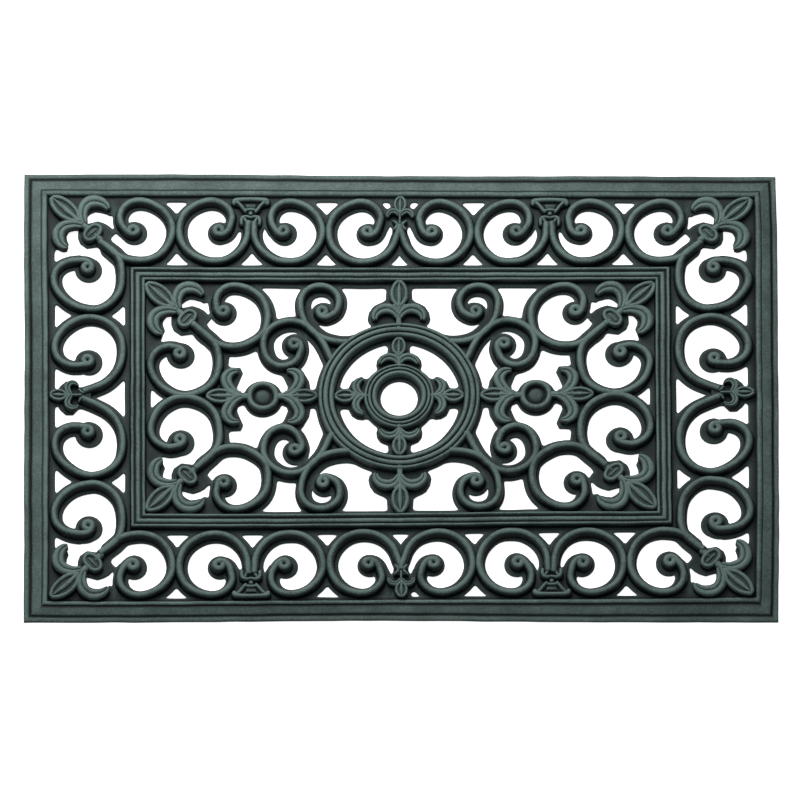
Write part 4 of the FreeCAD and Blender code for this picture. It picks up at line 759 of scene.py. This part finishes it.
def rail(soup, hx, hy, profile, along, sign, step=3.0):
    """Mitred bar: every line of the section ends on the diagonal."""
    pr = np.array(profile)
    hl, ho = (hx, hy) if along == "X" else (hy, hx)
    n = int(2 * hl / step) + 1
    s = np.linspace(-1, 1, n)
    lng = s[:, None] * (hl - pr[None, :, 0])
    acr = np.broadcast_to(sign * (ho - pr[None, :, 0]), lng.shape)
    v = np.empty(lng.shape + (3,))
    v[..., 0], v[..., 1] = (lng, acr) if along == "X" else (acr, lng)
    v[..., 2] = pr[None, :, 1]
    k = len(pr)
    tone = np.broadcast_to(pr[None, :, 2], lng.shape).reshape(-1)
    f = grid_faces(n, k, wrap_cols=True)
    up = (along == "X") == (sign > 0)
    if not up:
        f = [t[::-1] for t in f]
    soup.add(v.reshape(-1, 3), tone, f)


# painted light and shade on each side of the border, set by how the light falls: lip, outer groove, inner groove,
# closing ridge; the bottom's inner groove is darkened as the ridge's painted shadow and its outer groove lightened
SIDE_LIGHT_SHADE = {"top": (0.95, 0.0, 1.0, 0.80), "bottom": (0.93, 0.28, 0.15, 0.88), "left": (1.0, 0.0, 1.0, 1.0), "right": (0.98, 0.0, 0.9, 0.86)}
for node, along, sign in (("top", "X", 1), ("bottom", "X", -1), ("left", "Y", -1), ("right", "Y", 1)):
    lip, out_, in_, ridge = SIDE_LIGHT_SHADE[node]
    # border section tones scaled per side: painted light and shade
    section = [(d, z, t * lip if d < 4.6 else max(t, out_) if d < 7.0 else t * in_ if 15.0 < d < 17.3 else t * ridge if 17.3 < d < 22.0 else t) for d, z, t in BORDER]
    rail(soup_of("border_rail_" + node), HX, HY, section, along, sign, 2.6)
    rail(soup_of("inner_rail_" + node), IX, IY, FRAME, along, sign, 2.6)


# ---------------------------------------------------------------------------
# The hand of the mould: slow waviness of every line, and a few flaws
# ---------------------------------------------------------------------------
rng = np.random.RandomState(7)
WAVES = [(rng.uniform(0.02, 0.11), rng.uniform(0, 2 * math.pi), rng.uniform(0, 2 * math.pi), rng.uniform(0.4, 1.0)) for _ in range(30)]


def wave(x, y, k):
    """Sum of slow waves in many directions, about -1 to 1."""
    out = np.zeros_like(x)
    for n, (f, th, ph, am) in enumerate(WAVES[k::3]):
        out += am * np.sin((x * math.cos(th) + y * math.sin(th)) * f * 2.2 + ph)
    return out / 3.2


FLAWS = [  # place (mm), radius, change of height
    (-332.2, 206.5, 1.6, -0.9), (-329.6, 208.9, 1.4, 0.5), (-315.4, 213.0, 2.2, -0.45), (-174.3, 205.2, 1.0, 0.7)]


SKEW = [  # slow lopsidedness of the casting: powers of x and y, shift along X and Y (mm)
    (0, 0, -0.60, 0.19), (0, 1, -1.27, -1.73), (0, 2, 2.15, -1.01), (0, 3, 0.88, 1.93), (1, 0, 0.01, 2.35),
    (1, 1, -0.07, -3.46), (1, 2, 0.28, -1.36), (1, 3, -0.08, 1.57), (2, 0, 2.72, 2.75), (2, 1, 0.04, -0.90),
    (2, 2, -3.08, -2.18), (3, 0, 1.24, -0.75),
    (3, 1, 0.33, 0.78)]


def cast(v):
    x, y, z = v[:, 0], v[:, 1], v[:, 2]
    w = v.copy()
    cx, cy = np.clip(x / 350.0, -0.95, 0.95), np.clip(y / 228.0, -0.93, 0.93)
    skew = np.clip((350.0 - np.abs(x)) / 22.0, 0, 1) * np.clip((228.7 - np.abs(y)) / 22.0, 0, 1)
    w[:, 0] = x + 0.22 * wave(x, y, 0)
    w[:, 1] = y + 0.22 * wave(x, y, 1)
    w[:, 1] += np.interp(y, [-228.7, -206, -190, -160, -136, -116, -80, -40, 0], [0, -1.2, -2.0, -1.6, -1.5, -1.5, -1.2, -1.2, 0])  # lower half sagged a little
    w[:, 1] -= 0.65 * (1 - np.clip((z - 2.0) / 5.5, 0, 1)) * np.clip((204.0 - np.abs(y)) / 4.0, 0, 1)
    w[:, 1] += np.clip((y - 200.0) / 26.0, 0, 1) * np.clip(1.0 - x / 350.0, 0, 2) * 0.95
    for i, j, dx, dy in SKEW:
        w[:, 0] += dx * skew * cx ** i * cy ** j
        w[:, 1] += dy * skew * cx ** i * cy ** j
    w[:, 1] += np.clip((-165.0 - y) / 25.0, 0, 1) * skew * np.interp(x, [-320, -200, -30, 100, 200, 320], [-0.7, 0.0, 0.8, 0.2, -0.8, -0.5])
    w[:, 1] -= 1.3 * skew * np.clip((x - 120.0) / 100.0, 0, 1) * np.clip((300.0 - x) / 30.0, 0, 1) * np.exp(-((y + 121.0) / 18.0) ** 2)
    w[:, 1] -= np.clip((-208.0 - y) / 20.0, 0, 1) * np.interp(x, [-350, -150, 0, 200, 350], [1.2, 0.5, 0.1, 0.1, 0.7])
    w[:, 0] += np.clip((x - 326.0) / 22.0, 0, 1) * np.clip((228.0 - y) / 457.0, 0, 1) * 2.6
    ends = np.clip((np.abs(x) - 322.0) / 10.0, 0, 1)
    w[:, 0] += ends * np.where(x < 0, np.interp(y, [-218, -146, -110, 71, 107, 143, 179, 215], [1.1, 1.0, 0.65, 0.65, 0.0, -0.45, -0.65, -0.45]),
                               np.interp(y, [-218, -182, -146, -110, 71, 107, 143, 179, 215], [-1.3, -0.5, 0.1, 0.8, 1.3, 1.6, 1.8, 1.85, 0.75]))
    w[:, 1] += np.clip((-208.0 - y) / 14.0, 0, 1) * np.interp(x, [-336, -224, -168, -112, -56, 0, 56, 112, 168, 224, 336], [-0.2, -0.1, 0.1, 0.7, 1.0, 0.7, 0.5, -0.2, -0.7, -0.5, -0.4])
    w[:, 1] += np.clip((y - 208.0) / 14.0, 0, 1) * np.interp(x, [-336, -280, -224, -168, -112, -56, 56, 168, 336], [0.1, 0.5, 1.0, 0.8, 0.3, -0.1, -0.4, 0.0, -0.3])
    up = np.clip((z - 1.0) / 3.0, 0, 1)
    w[:, 2] = z + up * 0.14 * wave(y * 1.7, x * 1.7, 2)
    for fx, fy, r, dz in FLAWS:
        w[:, 2] += dz * up * np.exp(-((x - fx) ** 2 + (y - fy) ** 2) / (r * r))
    w[:, 0] = np.clip(w[:, 0], -HX - 0.8, HX + 2.7)
    w[:, 1] = np.clip(w[:, 1], -HY - 1.6, HY + 2.4)
    w[:, 2] = np.where(z < 0.01, z, np.clip(w[:, 2], 0.3, 9.3))
    return w


# ---------------------------------------------------------------------------
# Material: dull black rubber with a grey-green bloom on what stands proud; the dark end of the tone, in recesses and
# creases, is partly painted shade
# ---------------------------------------------------------------------------
def rubber(name, seed):
    m = bpy.data.materials.new(name)
    m.use_nodes = True
    nt = m.node_tree
    N, K = nt.nodes, nt.links
    N.clear()
    out = N.new("ShaderNodeOutputMaterial")
    b = N.new("ShaderNodeBsdfPrincipled")
    K.new(b.outputs[0], out.inputs[0])
    tc = N.new("ShaderNodeTexCoord")
    att = N.new("ShaderNodeAttribute")
    att.attribute_name = "tone"

    def noise(scale, detail, rough, off):
        mp = N.new("ShaderNodeMapping")
        mp.inputs["Location"].default_value = (off + seed, off * 0.7, off * 1.3)
        K.new(tc.outputs["Object"], mp.inputs[0])
        n = N.new("ShaderNodeTexNoise")
        n.inputs["Scale"].default_value = scale
        n.inputs["Detail"].default_value = detail
        n.inputs["Roughness"].default_value = rough
        K.new(mp.outputs[0], n.inputs["Vector"])
        return n.outputs["Fac"]

    def math_(op, a, c, clamp=False):
        n = N.new("ShaderNodeMath")
        n.operation = op
        n.use_clamp = clamp
        for k, s in enumerate((a, c)):
            if isinstance(s, (int, float)):
                n.inputs[k].default_value = s
            else:
                K.new(s, n.inputs[k])
        return n.outputs[0]

    def ramp(fac, stops):
        r = N.new("ShaderNodeValToRGB")
        e = r.color_ramp.elements
        while len(e) < len(stops):
            e.new(0.5)
        for k, (p, c) in enumerate(stops):
            e[k].position = p
            e[k].color = c + (1.0,)
        K.new(fac, r.inputs[0])
        return r.outputs[0]

    wide, cloud, fine, grain, speck = noise(9, 2, 0.5, 17.0), noise(48, 4, 0.6, 1.0), noise(520, 3, 0.65, 5.0), noise(1700, 2, 0.6, 9.0), noise(900, 1, 0.5, 13.0)
    shift = math_("ADD", math_("ADD", math_("MULTIPLY", math_("SUBTRACT", cloud, 0.5), 0.75), math_("MULTIPLY", math_("SUBTRACT", wide, 0.5), 0.45)), math_("MULTIPLY", math_("SUBTRACT", fine, 0.5), 0.85))
    tone = math_("ADD", att.outputs["Fac"], math_("MULTIPLY", shift, math_("ADD", att.outputs["Fac"], 0.15)), True)
    # colour from tone: black in recesses (bare rubber plus painted shade) up to the grey-green bloom on crests
    col = ramp(tone, [(0.0, (0.0012, 0.0018, 0.0019)), (0.28, (0.0115, 0.0192, 0.0195)), (0.62, (0.024, 0.038, 0.036)), (0.78, (0.0350, 0.0536, 0.0500)), (1.0, (0.056, 0.085, 0.078))])
    mix = N.new("ShaderNodeMix")
    mix.data_type = "RGBA"
    dust = ramp(speck, [(0.63, (0.0, 0.0, 0.0)), (0.76, (1.0, 1.0, 1.0))])
    K.new(math_("MULTIPLY", math_("MULTIPLY", dust, 0.5), tone), mix.inputs[0])
    K.new(col, mix.inputs[6])
    mix.inputs[7].default_value = (0.13, 0.17, 0.155, 1.0)
    K.new(mix.outputs[2], b.inputs["Base Color"])
    K.new(math_("ADD", 0.60, math_("MULTIPLY", math_("ADD", tone, fine), -0.10)), b.inputs["Roughness"])
    b.inputs["IOR"].default_value = 1.5
    b.inputs["Specular IOR Level"].default_value = 0.09
    bump = N.new("ShaderNodeBump")
    bump.inputs["Strength"].default_value = 0.35
    bump.inputs["Distance"].default_value = 0.00025
    K.new(math_("ADD", grain, math_("MULTIPLY", fine, 1.2)), bump.inputs["Height"])
    K.new(bump.outputs[0], b.inputs["Normal"])
    return m


skins = {"rail": rubber("rubber_rails", 0.0), "scroll": rubber("rubber_scrolls", 3.7), "fleur": rubber("rubber_ornament", 7.9), "ring": rubber("rubber_rings", 11.3)}


def skin(node):
    return skins["rail" if "rail" in node else "scroll" if "scroll" in node else "ring" if node.endswith("_ring") else "fleur"]


for node, s in pieces.items():
    v = cast(np.concatenate(s.v)) * 0.001
    me = bpy.data.meshes.new("mat_" + node)
    me.from_pydata(v.tolist(), [], s.f)
    me.validate(verbose=False)
    me.polygons.foreach_set("use_smooth", np.ones(len(me.polygons), bool))
    at_ = me.attributes.new("tone", "FLOAT", "POINT")
    at_.data.foreach_set("value", np.concatenate(s.a).astype(np.float32))
    me.materials.append(skin(node))
    me.update()
    o = bpy.data.objects.new("mat_" + node, me)
    bpy.context.scene.collection.objects.link(o)
    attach(o, "root")
    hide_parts(node)

print("pieces", len(pieces), "faces", sum(len(s.f) for s in pieces.values()), "largest", max((len(s.f), n) for n, s in pieces.items()))

# ---------------------------------------------------------------------------
# Floor, light and camera
# ---------------------------------------------------------------------------
fm = bpy.data.materials.new("studio_floor")
fm.use_nodes = True
fb = fm.node_tree.nodes["Principled BSDF"]
fb.inputs["Base Color"].default_value = (0.5, 0.5, 0.5, 1.0)
fb.inputs["Emission Color"].default_value = (1.0, 1.0, 1.0, 1.0)
fb.inputs["Emission Strength"].default_value = 0.8
fb.inputs["Roughness"].default_value = 0.9
fb.inputs["Specular IOR Level"].default_value = 0.2
me = bpy.data.meshes.new("studio_floor")
fl = 6.0
me.from_pydata([(-fl, -fl, -0.0004), (fl, -fl, -0.0004), (fl, fl, -0.0004), (-fl, fl, -0.0004)], [], [(0, 1, 2, 3)])
me.materials.append(fm)
floor = bpy.data.objects.new("studio_floor", me)
bpy.context.scene.collection.objects.link(floor)
floor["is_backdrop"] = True

world = bpy.data.worlds.new("studio")
bpy.context.scene.world = world
world.use_nodes = True
wn, wl = world.node_tree.nodes, world.node_tree.links
wn.clear()
wo_ = wn.new("ShaderNodeOutputWorld")
bg = wn.new("ShaderNodeBackground")
wl.new(bg.outputs[0], wo_.inputs[0])
wtc = wn.new("ShaderNodeTexCoord")
toward = wn.new("ShaderNodeVectorMath")
toward.operation = "DOT_PRODUCT"
toward.inputs[1].default_value = (-0.16, 0.34, 0.926)
wl.new(wtc.outputs["Generated"], toward.inputs[0])
rmp = wn.new("ShaderNodeValToRGB")
mr = wn.new("ShaderNodeMapRange")
mr.inputs["From Min"].default_value = -1.0
mr.inputs["From Max"].default_value = 1.0
wl.new(toward.outputs["Value"], mr.inputs["Value"])
wl.new(mr.outputs[0], rmp.inputs[0])
els = rmp.color_ramp.elements
els[0].position, els[0].color = 0.55, (0.02, 0.02, 0.02, 1)
els[1].position, els[1].color = 0.96, (1.0, 1.0, 1.0, 1)
wl.new(rmp.outputs[0], bg.inputs["Color"])
bg.inputs["Strength"].default_value = 1.25

panel = bpy.data.lights.new("softbox", "AREA")
panel.shape = "RECTANGLE"
panel.size, panel.size_y = 1.1, 0.6
panel.energy = 27.0
box = bpy.data.objects.new("softbox", panel)
box.location = (-0.28, 0.85, 0.85)
box.rotation_euler = (Vector((-0.05, 0.0, 0.0)) - box.location).to_track_quat("-Z", "Y").to_euler()
bpy.context.scene.collection.objects.link(box)

scene = bpy.context.scene
scene.view_settings.view_transform = "Standard"
scene.view_settings.look = "None"
scene.view_settings.exposure = 0.0
scene.view_settings.gamma = 1.0

ELEV = math.radians(64.8)
LENS = 1500.0
DIST = 20.68 * LENS / 1000.0
cam = bpy.data.cameras.new("camera")
cam.lens = LENS
cam.sensor_width = 36.0
cam.clip_start, cam.clip_end = 1.0, 100.0
co = bpy.data.objects.new("camera", cam)
scene.collection.objects.link(co)
aim = Vector((0.00023, -0.0014, 0.0))
co.location = aim + Vector((0.0, -math.cos(ELEV), math.sin(ELEV))) * DIST
co.rotation_euler = (math.pi / 2 - ELEV, 0.0, 0.0)
scene.camera = co

end_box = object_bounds()


def plain(b):
    return [[float(c) for c in p] for p in b] if hasattr(b[0], "__len__") else [float(c) for c in b]


{"cad": plain(cad_box), "visual": plain(end_box)}
